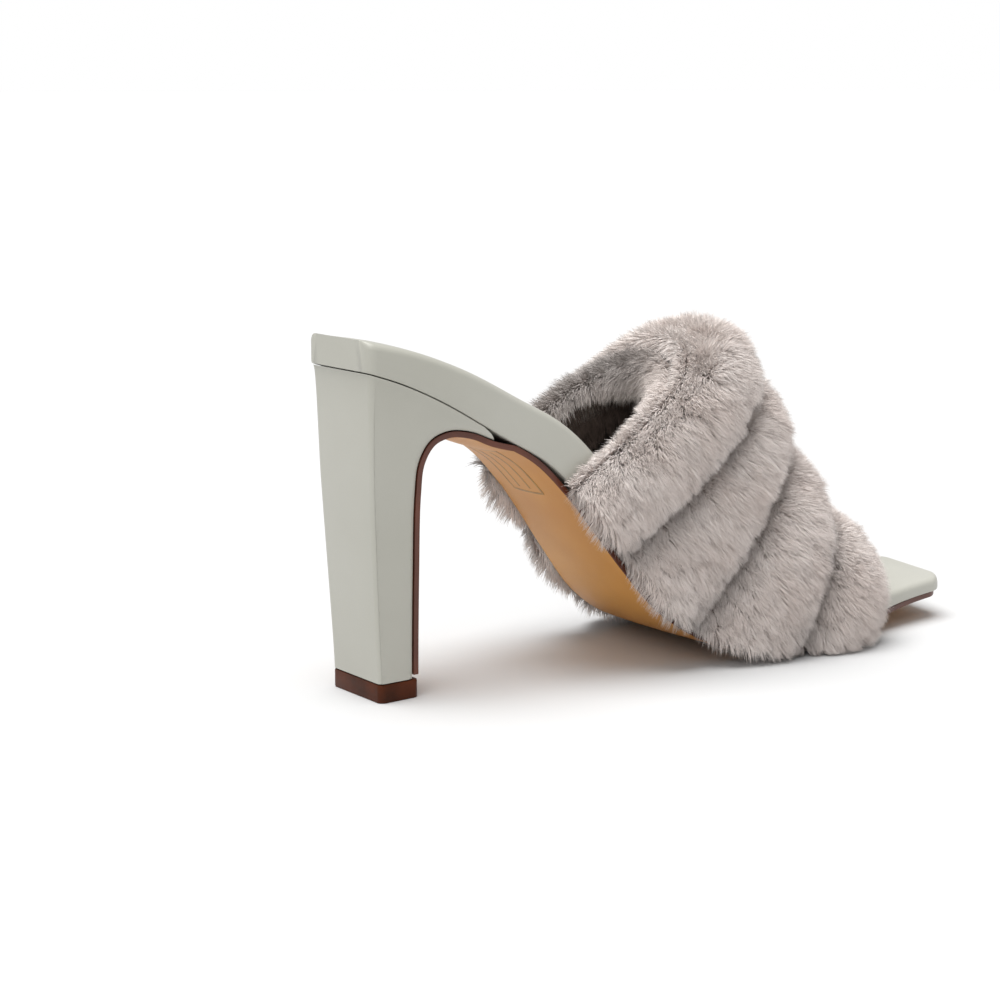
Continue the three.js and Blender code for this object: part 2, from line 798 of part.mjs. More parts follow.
function vampLining() {
  const inside = steps(rollCount * 4).map((share) => share * rollCount).slice(1, -1);
  return innerSheet({
    places: [0.02, ...inside, rollCount - 0.02],
    angles: archAngles,
    outside: 0,
    inside: -liningThickness,
  });
}

const mouthFacing = () =>
  innerSheet({
    places: [0.02, 0.25, 0.5],
    angles: innerAngles.slice(facingSkip, -facingSkip),
    outside: -liningThickness - gap,
    inside: -liningThickness - gap - facingPile,
  });

// ---------------------------------------------------------------- finishes and assembly

const finish = (color, roughness, metalness = 0) =>
  new THREE.MeshStandardMaterial({ color, roughness, metalness });
const finishes = {
  sage: finish(0xbebdaf, 0.35),
  fur: finish(0xc3bab6, 0.95),
  wadding: finish(0xe8e4dc, 1),
  lining: finish(0x6f655f, 0.9),
  foam: finish(0xd9cfa8, 0.95),
  board: finish(0x8d6b4a, 0.9),
  sole: finish(0xcd995a, 0.5),
  tip: finish(0x693c26, 0.45),
  core: finish(0x2b2b2d, 0.5),
  steel: finish(0x9a9da0, 0.35, 1),
  filler: finish(0xa98c66, 0.95),
};

const shoe = new THREE.Group();
function add(name, geometry, material) {
  const bare = geometry.index ? geometry.toNonIndexed() : geometry;
  bare.computeVertexNormals();
  const mesh = new THREE.Mesh(bare, material);
  mesh.name = name;
  shoe.add(mesh);
}

add("top_piece", topPiece(), finishes.tip);
add("top_piece_pin", upright(pinRadius, pinBase, pinBase + pinLength), finishes.steel);
add("heel_core", heelCore(), finishes.core);
add("heel_cover", heelCover(), finishes.sage);
add("heel_screw", fastener(heelScrew), finishes.steel);
heelNails.forEach((nail, i) => add(`heel_nail_${i + 1}`, fastener(nail), finishes.steel));
add("insole_cover", insoleCover(), finishes.sage);
add("insole_foam", insoleFoam(), finishes.foam);
add("insole_board", insoleBoard(), finishes.board);
add("shank", shank(), finishes.steel);
rivets.forEach((rivet, i) => add(`shank_rivet_${i + 1}`, fastener(rivet), finishes.steel));
add("bottom_filler", bottomFiller(), finishes.filler);
add("outsole", outsole(), finishes.sole);
add("lasting_margin_outer", lastingMargin(-1), finishes.lining);
add("lasting_margin_inner", lastingMargin(1), finishes.lining);
add("vamp_lining", vampLining(), finishes.lining);
add("mouth_facing", mouthFacing(), finishes.fur);
for (let roll = 0; roll < rollCount; roll += 1) {
  add(`padding_roll_${roll + 1}`, paddingRoll(roll), finishes.wadding);
  add(`fur_roll_${roll + 1}`, furRoll(roll), finishes.fur);
}

export default shoe;
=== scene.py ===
# %% [markdown]
# # A high-heeled mule with a quilted fur vamp
# The imported parts come in first and stay where they are: metres, +X from heel to toe, +Z up,
# with the origin under the heel tip. Every piece made here is drawn round those parts. The
# finished shoe has to keep that size.

import math

import bpy
import numpy as np
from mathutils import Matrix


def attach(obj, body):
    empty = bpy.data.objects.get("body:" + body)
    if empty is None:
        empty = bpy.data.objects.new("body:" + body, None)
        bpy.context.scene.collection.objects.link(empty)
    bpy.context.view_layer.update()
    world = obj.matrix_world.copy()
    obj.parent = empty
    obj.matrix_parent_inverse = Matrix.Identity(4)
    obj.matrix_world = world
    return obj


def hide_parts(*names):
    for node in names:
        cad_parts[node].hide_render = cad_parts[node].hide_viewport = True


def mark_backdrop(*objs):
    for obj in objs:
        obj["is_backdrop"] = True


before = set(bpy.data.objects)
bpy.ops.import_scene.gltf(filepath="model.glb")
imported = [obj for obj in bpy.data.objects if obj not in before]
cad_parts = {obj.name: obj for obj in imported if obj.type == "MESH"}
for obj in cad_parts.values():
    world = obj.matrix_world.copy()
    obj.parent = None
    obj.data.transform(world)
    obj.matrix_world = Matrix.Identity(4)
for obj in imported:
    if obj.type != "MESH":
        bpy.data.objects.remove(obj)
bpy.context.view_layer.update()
scene = bpy.context.scene

# %% [markdown]
# ## Curves shared by the whole shoe
# A shoe is drawn from a side view and a plan: one line for the insole's underside, and the
# half-widths to each side of it. All sizes here are millimetres, and a mesh is scaled to metres
# when it is made. The curve passes through its points and eases between them, so a few
# points give a clean line. A polygon with more points would show its corners in glossy leather.

# %% A smooth curve through points
MM = 0.001
FINE = 24


def spline_span(p0, p1, p2, p3, w):
    """Places at shares w of the span from p1 to p2, for points of any number of dimensions."""
    gaps = [np.maximum(np.linalg.norm(b - a, axis=-1, keepdims=True), 1e-9) ** 0.5
            for a, b in ((p0, p1), (p1, p2), (p2, p3))]
    leave = (p1 - p0) / gaps[0] - (p2 - p0) / (gaps[0] + gaps[1]) + (p2 - p1) / gaps[1]
    arrive = (p2 - p1) / gaps[1] - (p3 - p1) / (gaps[1] + gaps[2]) + (p3 - p2) / gaps[2]
    leave, arrive = leave * gaps[1], arrive * gaps[1]
    bend = -3 * p1 + 3 * p2 - 2 * leave - arrive
    twist = 2 * p1 - 2 * p2 + leave + arrive
    return p1 + leave * w + bend * w**2 + twist * w**3


def padded_ends(points):
    """The points with one more at each end, mirrored, so the end spans have neighbours."""
    points = np.asarray(points, float)
    return np.concatenate([[2 * points[0] - points[1]], points, [2 * points[-1] - points[-2]]])


def smooth(points):
    """A dense line through a few points of the side view."""
    p = padded_ends(points)
    shares = np.linspace(0, 1, FINE, endpoint=False)[:, None]
    spans = [spline_span(*p[i:i + 4], shares) for i in range(len(points) - 1)]
    return np.concatenate([*spans, p[-2:-1]])


# %% Places along a side-view line
SEAT_UPRIGHT = 25


def ease(x, low, high):
    """A share that rises softly from 0 at low to 1 at high."""
    share = np.clip((x - low) / (high - low), 0, 1)
    return share * share * (3 - 2 * share)


class Line:
    """A side-view curve, read off by distance: its place, and its normal that points up."""

    def __init__(self, points):
        self.dense = smooth(points)
        steps = np.linalg.norm(np.diff(self.dense, axis=0), axis=1)
        self.at = np.concatenate([[0], np.cumsum(steps)])
        self.length = self.at[-1]

    def place(self, distance):
        return np.array([np.interp(distance, self.at, self.dense[:, i]) for i in (0, 1)])

    def up(self, distance):
        ahead = self.place(min(distance + 0.5, self.length))
        forward = ahead - self.place(max(distance - 0.5, 0))
        forward /= np.linalg.norm(forward)
        return np.array([-forward[1], forward[0]])

    def up_from_seat(self, distance):
        """Upright at the line's start, and square to the line further on."""
        square = ease(distance, 0, SEAT_UPRIGHT)
        up = self.up(distance) * square + np.array([0, 1]) * (1 - square)
        return up / np.linalg.norm(up)

    def distance_at(self, x):
        return float(np.interp(x, self.dense[:, 0], self.at))


# %% The shoe's own lines
GAP = 0.3
SEAT_BACK = -12.1
LENGTH = 227
DRAWN_BACK = -11.5
DRAWN_LENGTH = 227


def along(x):
    """A place along the drawn shoe, moved to where it lies on this one."""
    return SEAT_BACK + (x - DRAWN_BACK) * LENGTH / DRAWN_LENGTH


def side_view(*points):
    return [(along(x), z) for x, z in points]


def width_curve(*pairs):
    """Half-widths, or thicknesses, read off at any x."""
    line = smooth(side_view(*pairs))
    return lambda x: np.interp(x, line[:, 0], line[:, 1])


insole_line = Line(side_view(
    (-11.5, 96.5), (0, 92.6), (14, 86.2), (34, 74.7), (48, 66.7), (58, 57.8), (66.5, 47.5),
    (77, 34), (90, 19.5), (106, 9.3), (124, 4.6), (142, 3.5), (176, 7), (196, 8.6), (215.5, 9.4),
))
outer_edge = width_curve(
    (-11.5, 17.2), (8, 17.8), (34, 18.4), (57, 20), (76, 21.8), (97, 24.6), (115, 28),
    (133, 30.7), (150, 30.8), (169, 27.8), (190, 22.4), (215.5, 16.6),
)
inner_edge = width_curve(
    (-11.5, 17.2), (8, 17.8), (34, 18.6), (57, 20), (76, 22.8), (97, 28.2), (115, 32.8),
    (130, 35.6), (150, 35.3), (169, 32), (190, 28.4), (215.5, 25.4),
)
insole_thickness = width_curve(
    (-11.5, 8.8), (4, 10.2), (24, 12), (48, 12.6), (62, 11.8), (80, 9.4), (100, 7),
    (130, 5.8), (180, 5), (215.5, 4.4),
)
print("insole line:", round(insole_line.length, 1), "mm long")

# %% [markdown]
# ## Lofting
# The insole, the sole, the heel and the tip are all lofts: a row of closed sections joined by a
# skin of quads. One helper joins any row of sections, and the pieces differ only in how
# a section is drawn. Edges sharper than a set angle stay sharp, the rest shade smoothly.


# %% Join sections into a closed piece
def finish_mesh(name, points, faces, sharp=40):
    mesh = bpy.data.meshes.new(name)
    mesh.from_pydata((np.asarray(points) * MM).tolist(), [], faces)
    mesh.validate()
    mesh.shade_smooth()
    mesh.set_sharp_from_angle(angle=math.radians(sharp))
    piece = bpy.data.objects.new(name, mesh)
    scene.collection.objects.link(piece)
    face_outwards(piece)
    return piece


def face_outwards(piece):
    """Turn a closed piece's faces round if it encloses a negative volume."""
    mesh = piece.data
    mesh.calc_loop_triangles()
    corners = np.array([t.vertices[:] for t in mesh.loop_triangles])
    points = np.array([v.co[:] for v in mesh.vertices])
    a, b, c = points[corners[:, 0]], points[corners[:, 1]], points[corners[:, 2]]
    if (a * np.cross(b, c)).sum() < 0:
        mesh.flip_normals()


def loft_faces(rows, size):
    """Quads between neighbouring rings, as corner numbers, and one cap at each end."""
    faces = []
    for r in range(rows - 1):
        for i in range(size):
            a, b = r * size + i, r * size + (i + 1) % size
            faces.append((a, b, b + size, a + size))
    last = (rows - 1) * size
    half = size // 2
    for start in (0, last):
        for i in range(half - 1):
            cap = (start + i, start + i + 1, start + size - 2 - i, start + size - 1 - i)
            faces.append(cap if start else cap[::-1])
    return faces


def loft(name, rings, sharp=40):
    """A closed piece over a row of rings with the same number of points."""
    faces = loft_faces(len(rings), len(rings[0]))
    return finish_mesh(name, np.concatenate(rings), faces, sharp)


# %% Draw the section of a flat piece
CORNER_STEPS = 7
ACROSS = 9


def quarter(radius):
    """Offsets from a wall and from a face along a quarter-round between them."""
    turn = np.linspace(0, math.pi / 2, CORNER_STEPS)
    return np.column_stack([radius * (1 - np.cos(turn)), radius * (1 - np.sin(turn))])


def slab_section(outer, inner, bottom, top, round_top, round_low, crown=0.0, bow=0.0):
    """Across a flat piece as (y, height): over its upper face, then back along its lower face."""
    high, low = quarter(round_top), quarter(round_low)
    share = np.linspace(-1, 1, ACROSS + 2)[1:-1]
    middle, half = (inner - outer) / 2, (inner + outer) / 2

    def face(height, swell, edge):
        y = middle + share * (half - edge)
        return np.column_stack([y, height + swell * (1 - share**2)])

    return np.concatenate([
        np.column_stack([high[:, 0] - outer, top - high[:, 1]]),
        face(top, crown, round_top),
        np.column_stack([inner - high[::-1, 0], top - high[::-1, 1]]),
        np.column_stack([inner - low[:, 0], bottom + low[:, 1]]),
        face(bottom, -bow, round_low)[::-1],
        np.column_stack([low[::-1, 0] - outer, bottom + low[::-1, 1]]),
    ])


def stand(section, place, up, skew=0.0):
    """Set a section up in space on a side-view place, square to its line."""
    y, height = section[:, 0], section[:, 1]
    x = place[0] + up[0] * height + skew * y
    z = place[1] + up[1] * height
    return np.column_stack([x, y, z])


def end_loss(distance, radius):
    """Half-width lost near an end whose plan corners are round."""
    short = max(radius - distance, 0)
    return radius - math.sqrt(max(radius * radius - short * short, 0))


# %% [markdown]
# ## The padded insole
# The real one is a board with a foam pad, wrapped in coated cloth that is turned in underneath.
# The wrap has a soft round along its upper edge and a small one below. It could be a box with
# bevels, but the edge changes height along the foot, so it is lofted from sections, and the pad
# lifts the middle by half a millimetre.

# %% Make the insole
SEAT_CORNER = 3
TOE_CORNER = 6
TOE_SKEW = 0.19
INSOLE_ROUND = 2.4
PAD_CROWN = 0.5


def toe_skew(distance):
    return TOE_SKEW * ease(distance, insole_line.length * 0.72, insole_line.length)


def rounded_stations(length, start_round, end_round, count):
    """Distances along a piece, closer together in its rounded ends."""
    ends = np.sin(np.linspace(0, math.pi / 2, 9)) ** 2
    middle = np.linspace(start_round, length - end_round, count)[1:-1]
    return np.concatenate([ends * start_round, middle, length - ends[::-1] * end_round])


def insole_rings():
    total = insole_line.length
    for distance in rounded_stations(total, SEAT_CORNER, TOE_CORNER, 130):
        place, up = insole_line.place(distance), insole_line.up_from_seat(distance)
        x = place[0]
        loss = max(end_loss(distance, SEAT_CORNER), end_loss(total - distance, TOE_CORNER))
        thick = insole_thickness(x)
        ends_fade = ease(min(distance, total - distance), 0, 9)
        section = slab_section(
            outer_edge(x) - loss, inner_edge(x) - loss, 0, thick,
            INSOLE_ROUND, 0.7, PAD_CROWN * ends_fade,
        )
        yield stand(section, place, up, toe_skew(distance))


insole = loft("insole_wrap", list(insole_rings()))
print("insole:", len(insole.data.vertices), "vertices")

# %% [markdown]
# ## The arch and the heel
# The outsole runs up from the toe, over the arch and down the front of the heel as a flap. The
# heel is a tall wedge between that line and its own raked back. Its sections lie flat at the
# ground and tilt with the seat at the top, so a plain extrusion would not meet the insole.

# %% The line of the arch and the heel's front
TIP_HEIGHT = 5.5
TIP_DEPTH = 14
TIP_HALF = 13.6
BREAST_X = 5.3
BREAST_TAPER = 1.2
UNDER_SEAT = 0.6
NOSE_REACH = 31
ARCH_REACH = 38
MARGIN_ROOM = 1.6
SHARED_SECTIONS = 28


def under_room(x):
    """Clear height between insole and outsole: the turned-in fur needs some under the vamp."""
    share = ease(x, along(41), along(59)) * (1 - ease(x, along(170), along(181)))
    return GAP + (MARGIN_ROOM - GAP) * share


def sole_place(distance):
    place, up = insole_line.place(distance), insole_line.up(distance)
    return place - up * under_room(place[0]), up


shared = np.linspace(0, insole_line.length, SHARED_SECTIONS + 1)
arch_end = next(d for d in shared if insole_line.place(d)[0] > along(ARCH_REACH))
breast_foot = TIP_HEIGHT + 1.2
arch_line = Line([
    (BREAST_X + 0.3, breast_foot), (BREAST_X, (breast_foot + 66) / 2), (BREAST_X, 60),
    *side_view((7, 69.5), (10.8, 75.4), (16.8, 77.6), (24, 76.7), (31, 73.9)),
    tuple(sole_place(arch_end)[0]),
])
nose = next(d for d in np.linspace(0, arch_line.length, 401)
            if arch_line.place(d)[0] > along(NOSE_REACH))
print("arch line:", round(arch_line.length, 1), "mm, of which the heel takes", round(nose, 1))

# %% Make the heel
HEEL_CORNER = 1.8
BACK_BOW = 0.5
NOSE_ROUND = 3


def heel_edges(t):
    """Back and front of the heel at share t of its height, seen from the side."""
    share = t**0.9
    bow = BACK_BOW * math.sin(math.pi * share)
    lean = share**1.2
    back_x = -TIP_DEPTH / 2 * (1 - lean) + (SEAT_BACK + UNDER_SEAT) * lean - bow
    low, high = TIP_HEIGHT + GAP, insole_line.place(0)[1] - GAP
    front = arch_line.place(t * nose) + arch_line.up(t * nose) * GAP
    back = np.array([back_x, low + (high - low) * share])
    if t == 0:
        front[1] = back[1]
    return back, front


def heel_half(depth, t, x):
    """Half-width of the heel, at a share of its depth and of its height."""
    foot = TIP_HALF - BREAST_TAPER * depth
    seat = np.minimum(outer_edge(x), inner_edge(x)) - UNDER_SEAT
    return foot + (seat - foot) * t**1.25


def heel_ring(t):
    back, front = heel_edges(t)
    reach = front[0] - back[0]
    corner = quarter(HEEL_CORNER)
    depth = np.concatenate([
        corner[:, 0] / reach, np.linspace(0.06, 0.9, 12), 1 - corner[::-1, 0] / reach,
    ])
    loss = np.concatenate([corner[:, 1], np.zeros(12), corner[::-1, 1]])
    chord = back + (front - back) * depth[:, None]
    seat_z = [insole_line.place(insole_line.distance_at(x))[1] - GAP * 1.2 for x in chord[:, 0]]
    behind_nose = 1 - ease(depth * reach, reach - NOSE_ROUND, reach)
    z = chord[:, 1] + (np.array(seat_z) - chord[:, 1]) * ease(t, 0.6, 1) * behind_nose
    half = heel_half(depth, t, chord[:, 0]) - loss
    outer = np.column_stack([chord[:, 0], -half, z])
    inner = np.column_stack([chord[:, 0], half, z])[::-1]
    return np.concatenate([outer, inner])


heel = loft("heel_wrap", [heel_ring(t) for t in np.linspace(0, 1, 70)], sharp=50)
print("heel:", len(heel.data.vertices), "vertices")

# %% Make the heel's tip
TIP_EDGE = 0.35


def tip_ring(z, inset):
    """Rounded outline of the tip, a little narrower at its front."""
    corners = []
    for x_sign, y_sign in ((-1, -1), (1, -1), (1, 1), (-1, 1)):
        half = TIP_HALF if x_sign < 0 else TIP_HALF - BREAST_TAPER
        turn = np.linspace(0, math.pi / 2, CORNER_STEPS)
        dx, dy = 1 - np.cos(turn), 1 - np.sin(turn)
        if x_sign * y_sign < 0:
            dx, dy = dx[::-1], dy[::-1]
        x = x_sign * (TIP_DEPTH / 2 - inset - HEEL_CORNER * dx)
        y = y_sign * (half - inset - HEEL_CORNER * dy)
        corners.append(np.column_stack([x, y, np.full(CORNER_STEPS, z)]))
    return np.concatenate(corners)


tip_levels = [(0, TIP_EDGE), (0.12, 0.1), (TIP_EDGE, 0), (TIP_HEIGHT - TIP_EDGE, 0),
              (TIP_HEIGHT - 0.1, 0.1), (TIP_HEIGHT, TIP_EDGE)]
tip = loft("heel_tip", [tip_ring(z, inset) for z, inset in tip_levels])
print("tip:", len(tip.data.vertices), "vertices")

# %% [markdown]
# ## The outsole
# A thin sheet with a tan face and a dyed dark edge, bowed across the waist. The edge is a
# second material on the same piece, because on the real sole it is only a dye. Every section
# has its points in the same order, so the edge's faces are known by their place in it.

# %% Make the outsole
SOLE_THICKNESS = 1.8
SOLE_INSET = 1.3
WAIST_CROWN = 1.6
FLAP_INSET = 0.7


def sole_half(x, side_edge, t=1.0):
    if t < 1:
        return heel_half(1, t, x) - FLAP_INSET
    return side_edge(x) - SOLE_INSET


def sole_stations():
    """Places and normals from the foot of the heel to the toe, with the share of heel height."""
    for distance in np.linspace(0, arch_line.length, 90)[:-1]:
        yield arch_line.place(distance), arch_line.up(distance), min(distance / nose, 1)
    end = insole_line.length - 1
    for distance in arch_end + rounded_stations(end - arch_end, 2, TOE_CORNER, 90):
        place, up = sole_place(distance)
        yield place, up, 1.0


def sole_rings():
    toe_x = insole_line.place(insole_line.length - 1)[0]
    for place, up, t in sole_stations():
        x = place[0]
        loss = end_loss(max(toe_x - x, 0), TOE_CORNER)
        waist = ease(x, along(12), along(44)) * (1 - ease(x, along(84), along(118)))
        section = slab_section(
            sole_half(x, outer_edge, t) - loss, sole_half(x, inner_edge, t) - loss,
            -SOLE_THICKNESS, 0, 0.1, 0.45, 0, WAIST_CROWN * waist,
        )
        yield stand(section, place, up, TOE_SKEW * ease(x, along(168), along(215)))


outsole = loft("outsole_sheet", list(sole_rings()), sharp=60)
print("outsole:", len(outsole.data.vertices), "vertices")

# %% [markdown]
# ## A foil frame under the arch
# The real sole has a foil stamp there. Only its plain frame is made, with two rules across it and
# no lettering. Foil is thinner than paper, so each line is a flat bar that barely stands
# proud of the leather, and it follows the bow of the waist.

# %% Make the foil frame
FRAME_START = 55.5
FRAME_END = 79.5
FRAME_SIDES = (-8.5, 7.0)
RULES_AT = (-3.5, 2.0)
LINE_WIDTH = 0.8
FOIL = 0.05


def under_sole(distance, y, proud):
    """A point on the sole's lower face, or that far below it."""
    place, up = sole_place(distance)
    x = place[0]
    half = outer_edge(x) - SOLE_INSET
    bow = WAIST_CROWN * ease(x, along(12), along(44)) * (1 - (y / half) ** 2)
    low = place - up * (SOLE_THICKNESS + bow + proud)
    return (low[0], y, low[1])


def foil_line(start, end):
    """Sections of a flat bar from one (distance, y) to another."""
    start, end = np.array(start, float), np.array(end, float)
    way = (end - start) / np.linalg.norm(end - start)
    side = np.array([-way[1], way[0]]) * LINE_WIDTH / 2
    for share in np.linspace(0, 1, 16):
        left, right = start + (end - start) * share + side, start + (end - start) * share - side
        yield np.array([under_sole(*left, -FOIL), under_sole(*right, -FOIL),
                        under_sole(*right, FOIL), under_sole(*left, FOIL)])


def foil_lines():
    lower, upper = FRAME_SIDES
    corners = [(FRAME_START, lower), (FRAME_END, lower), (FRAME_END, upper), (FRAME_START, upper)]
    for start, end in zip(corners, corners[1:] + corners[:1]):
        yield start, end
    for y in RULES_AT:
        yield (FRAME_START + 2, y), (FRAME_END - 2, y)


foil_points, foil_faces = [], []
for start, end in foil_lines():
    rings = list(foil_line(start, end))
    first = len(foil_points) * 4
    foil_faces += [[first + v for v in face] for face in loft_faces(len(rings), 4)]
    foil_points += rings
foil = finish_mesh("foil_frame", np.concatenate(foil_points), foil_faces)
print("foil frame:", len(foil.data.polygons), "faces")

# %% [markdown]
# ## The quilted vamp
# Five seams arch over the foot, and the fur fabric between them is stuffed into four rolls.
# A place on the vamp is given by two numbers: how many seams it is from the mouth, and how
# far round the arch it lies, from the outer hem over the foot to the inner hem. Everything on
# the vamp, from lining to fur, is drawn with these two numbers, so the layers follow each other.

# %% Places on the vamp
SEAM_PLACES = [57, 73, 97, 133, 169]
ARCH_TOPS = [(46, 32), (57, 44), (44, 50.5), (22, 38), (7, 14.5)]
HEM_DROPS = [1.5, 1.5, 1.5, 1, 1]
HEM_TURN = 0.15
ARCH_FULLNESS = 2.3
ARCH_BELLY = 2.2
LINING_OUTSIDE = 2.1
ROLLS = len(SEAM_PLACES) - 1


def arch_points(seam, turn):
    """One seam's arch, for an array of turns in radians."""
    base = insole_line.place(insole_line.distance_at(along(SEAM_PLACES[seam])))
    reach, height = ARCH_TOPS[seam]
    outer = outer_edge(base[0]) + LINING_OUTSIDE
    inner = inner_edge(base[0]) + LINING_OUTSIDE
    power = 2 / ARCH_FULLNESS
    past = np.maximum(np.maximum(-turn, turn - math.pi), 0) / HEM_TURN
    across = -np.sign(np.cos(turn)) * np.abs(np.cos(turn)) ** power
    across = np.where(past > 0, np.sign(across), across)
    rise = np.abs(np.sin(turn)) ** power
    rise = np.where(past > 0, -past * HEM_DROPS[seam] / math.hypot(reach, height), rise)
    belly = np.where(past > 0, 0, ARCH_BELLY * np.sin(2 * turn))
    y = (inner - outer) / 2 + across * (inner + outer) / 2 - belly
    return np.column_stack([base[0] + rise * reach, y, base[1] + rise * height])


def on_vamp(seams, turn):
    """Points of the lining's outer face, for a count of seams and an array of turns.

    The count may also be an array that varies with the turn, if it stays within one roll.
    """
    arches = padded_ends([arch_points(i, turn) for i in range(ROLLS + 1)])
    span = min(int(max(np.max(seams), 0)), ROLLS - 1)
    return spline_span(*arches[span:span + 4], np.reshape(seams - span, (-1, 1)))


def off_vamp(seams, turn, height):
    """The same points, raised off the lining by a height."""
    step = 0.02
    at = np.clip(turn, 0.03, math.pi - 0.03)
    ahead = on_vamp(np.minimum(seams + step, ROLLS), at)
    behind = on_vamp(np.maximum(seams - step, 0), at)
    round_arch = on_vamp(seams, at + step) - on_vamp(seams, at - step)
    normal = np.cross(ahead - behind, round_arch)
    normal /= np.linalg.norm(normal, axis=1, keepdims=True)
    return on_vamp(seams, turn) + normal * np.reshape(height, (-1, 1))


def sheet_rings(seams, turns, outside, inside):
    """Sections of a thin sheet on the vamp: one ring for each turn, over and back."""
    over = np.array([off_vamp(s, turns, outside) for s in seams])
    back = np.array([off_vamp(s, turns, inside) for s in seams[::-1]])
    return list(np.concatenate([over, back]).transpose(1, 0, 2))


print("vamp mouth, top of the arch:", on_vamp(0, np.array([math.pi / 2])).round(1))

# %% [markdown]
# ## Lining and facing
# Inside the vamp lies a plain woven lining. At the mouth the fur fabric is turned in over the
# lining's edge and sewn down, which leaves a dark seam a thumb's width inside. Both are
# sheets with a real thickness. Cloth that is glued to a last hardly sags, so neither is simulated.

# %% Make the lining and the facing
LINING_THICKNESS = 0.9
FACING_DEPTH = 0.62
FACING_TURNS = (0.36, 2.78)
FACING_THICKNESS = 1.0


def strip_area(rings):
    """Flat size of a sheet from its outer face: mean width, mean length and area, in metres."""
    grid = np.array(rings)[:, :len(rings[0]) // 2] * MM
    down, over = np.diff(grid, axis=0), np.diff(grid, axis=1)
    width = np.linalg.norm(down, axis=2).sum(axis=0)
    length = np.linalg.norm(over, axis=2).sum(axis=1)
    area = np.linalg.norm(np.cross(down[:, :-1], over[:-1]), axis=2).sum()
    return (float(width.max()), float(length.max())), float(area)


lining_rings = sheet_rings(
    np.linspace(0.02, ROLLS - 0.25, 60), np.linspace(0, math.pi, 80), 0, -LINING_THICKNESS,
)
lining = loft("vamp_lining_cloth", lining_rings)
lining_flat, lining_area = strip_area(lining_rings)
facing_rings = sheet_rings(
    np.linspace(0.0, FACING_DEPTH, 16), np.linspace(*FACING_TURNS, 60),
    -LINING_THICKNESS - GAP, -LINING_THICKNESS - GAP - FACING_THICKNESS,
)
facing = loft("mouth_facing_cloth", facing_rings)
facing_flat, facing_area = strip_area(facing_rings)
print("lining:", lining_flat, "facing:", facing_flat)

# %% [markdown]
# ## Stuffed rolls
# Each roll is fur fabric sewn down along two seams with wadding pushed in between. The loft
# gives its first shape, a little slack. A cloth simulation then blows it up against its
# own seams, which are pinned, so it swells most between them and puckers near them. A limit on
# how far any point may move keeps the shoe's size, and one subdivision smooths the result.

# %% Draw a roll before it is blown up
ROLL_SWELL = [(8, 15), (7, 7.5), (7, 7), (6.5, 7)]
GROOVE_HEIGHT = 4.6
PILE = 5.3
SLACK = 0.8
LEAST_HEIGHT = 0.7
REAR_FULLNESS = (0.36, 0.66)
ROLL_REACH = (1, 1, 1, 0.84)
ROLL_ACROSS = 13
ROLL_ROUND = 52
HEM_ROWS = 3
SEAM_REACH = 0.26
SEAM_TRIM = 0.55
HEM_TRIM = 0.3
MOUTH_TRIM = 0.25
SEAM_MARGIN = 0.012
ON_LINING = 0.25


def skin_height(roll, share, turn):
    """Height of the fur fabric's back above the lining, at a share of the roll's width."""
    at_side, on_top = ROLL_SWELL[roll]
    swell = at_side + (on_top - at_side) * np.sin(turn) ** 2
    bump = max(1 - (2 * share - 1) ** 2, 0) ** 0.6
    if roll == 0 and share < 0.5:
        low, high = REAR_FULLNESS
        bump = np.maximum(bump, low + (high - low) * np.sin(turn) ** 2)
    return np.maximum(GROOVE_HEIGHT + swell * bump - PILE - SLACK, LEAST_HEIGHT)


def outer_side(turn):
    """One on the foot's outer side, falling to nothing over the top; turn runs from 0 to 1."""
    return 1 - ease(turn, 0.36, 0.6)


def make_roll(roll):
    turns = np.linspace(-HEM_TURN, math.pi + HEM_TURN, ROLL_ROUND)
    shares = np.sin(np.linspace(0, math.pi / 2, ROLL_ACROSS)) ** 2
    shares = (shares + np.linspace(0, 1, ROLL_ACROSS)) / 2
    shares = SEAM_MARGIN + (1 - 2 * SEAM_MARGIN) * shares
    places = roll + shares * ROLL_REACH[roll]
    over = [off_vamp(p, turns, skin_height(roll, s, turns)) for p, s in zip(places, shares)]
    back = [off_vamp(p, turns, ON_LINING) for p in places[::-1]]
    rings = list(np.array(over + back).transpose(1, 0, 2))
    piece = loft(f"fur_fabric_{roll + 1}", rings, sharp=80)
    mark_roll(piece.data, roll, shares)
    return piece


def write_marks(mesh, marks):
    """Store named numbers on a mesh's points, for the fur tree to read."""
    for name, values in marks.items():
        mark = mesh.attributes.new(name, "FLOAT", "POINT")
        mark.data.foreach_set("value", values.astype(np.float32))


def mark_roll(mesh, roll, shares):
    """Mark where a point lies, whether fur grows there, how long and combed its fur is, and how much
    painted shade darkens it.
    """
    across = np.tile(np.concatenate([shares, shares[::-1]]), ROLL_ROUND)
    outside = np.concatenate([np.ones(len(shares)), np.zeros(len(shares))])
    grows = np.tile(outside, (ROLL_ROUND, 1))
    grows[:HEM_ROWS] = grows[-HEM_ROWS:] = 1
    turn = np.repeat(np.linspace(0, 1, ROLL_ROUND), 2 * len(shares))
    to_rear = across if roll > 0 else np.ones(len(across))
    to_front = 1 - across if roll < ROLLS - 1 else np.ones(len(across))
    # Nearness to a seam: it shortens the fur, and as painted shade it darkens the fur's colour in the
    # groove.
    seam = 1 - np.clip(np.minimum(to_rear, to_front) / SEAM_REACH, 0, 1)
    hem = 1 - ease(np.minimum(turn, 1 - turn), 0.02, 0.14)
    trim = (1 - SEAM_TRIM * seam) * (1 - HEM_TRIM * hem)
    comb = np.zeros(len(across))
    if roll == 0:
        comb = 1 - ease(across, 0.02, 0.4)
        trim *= 1 - MOUTH_TRIM * comb * outer_side(turn)
    write_marks(mesh, {
        "turn": turn, "grows": grows.ravel(), "across": across, "seam": seam, "trim": trim,
        "comb": comb,
    })


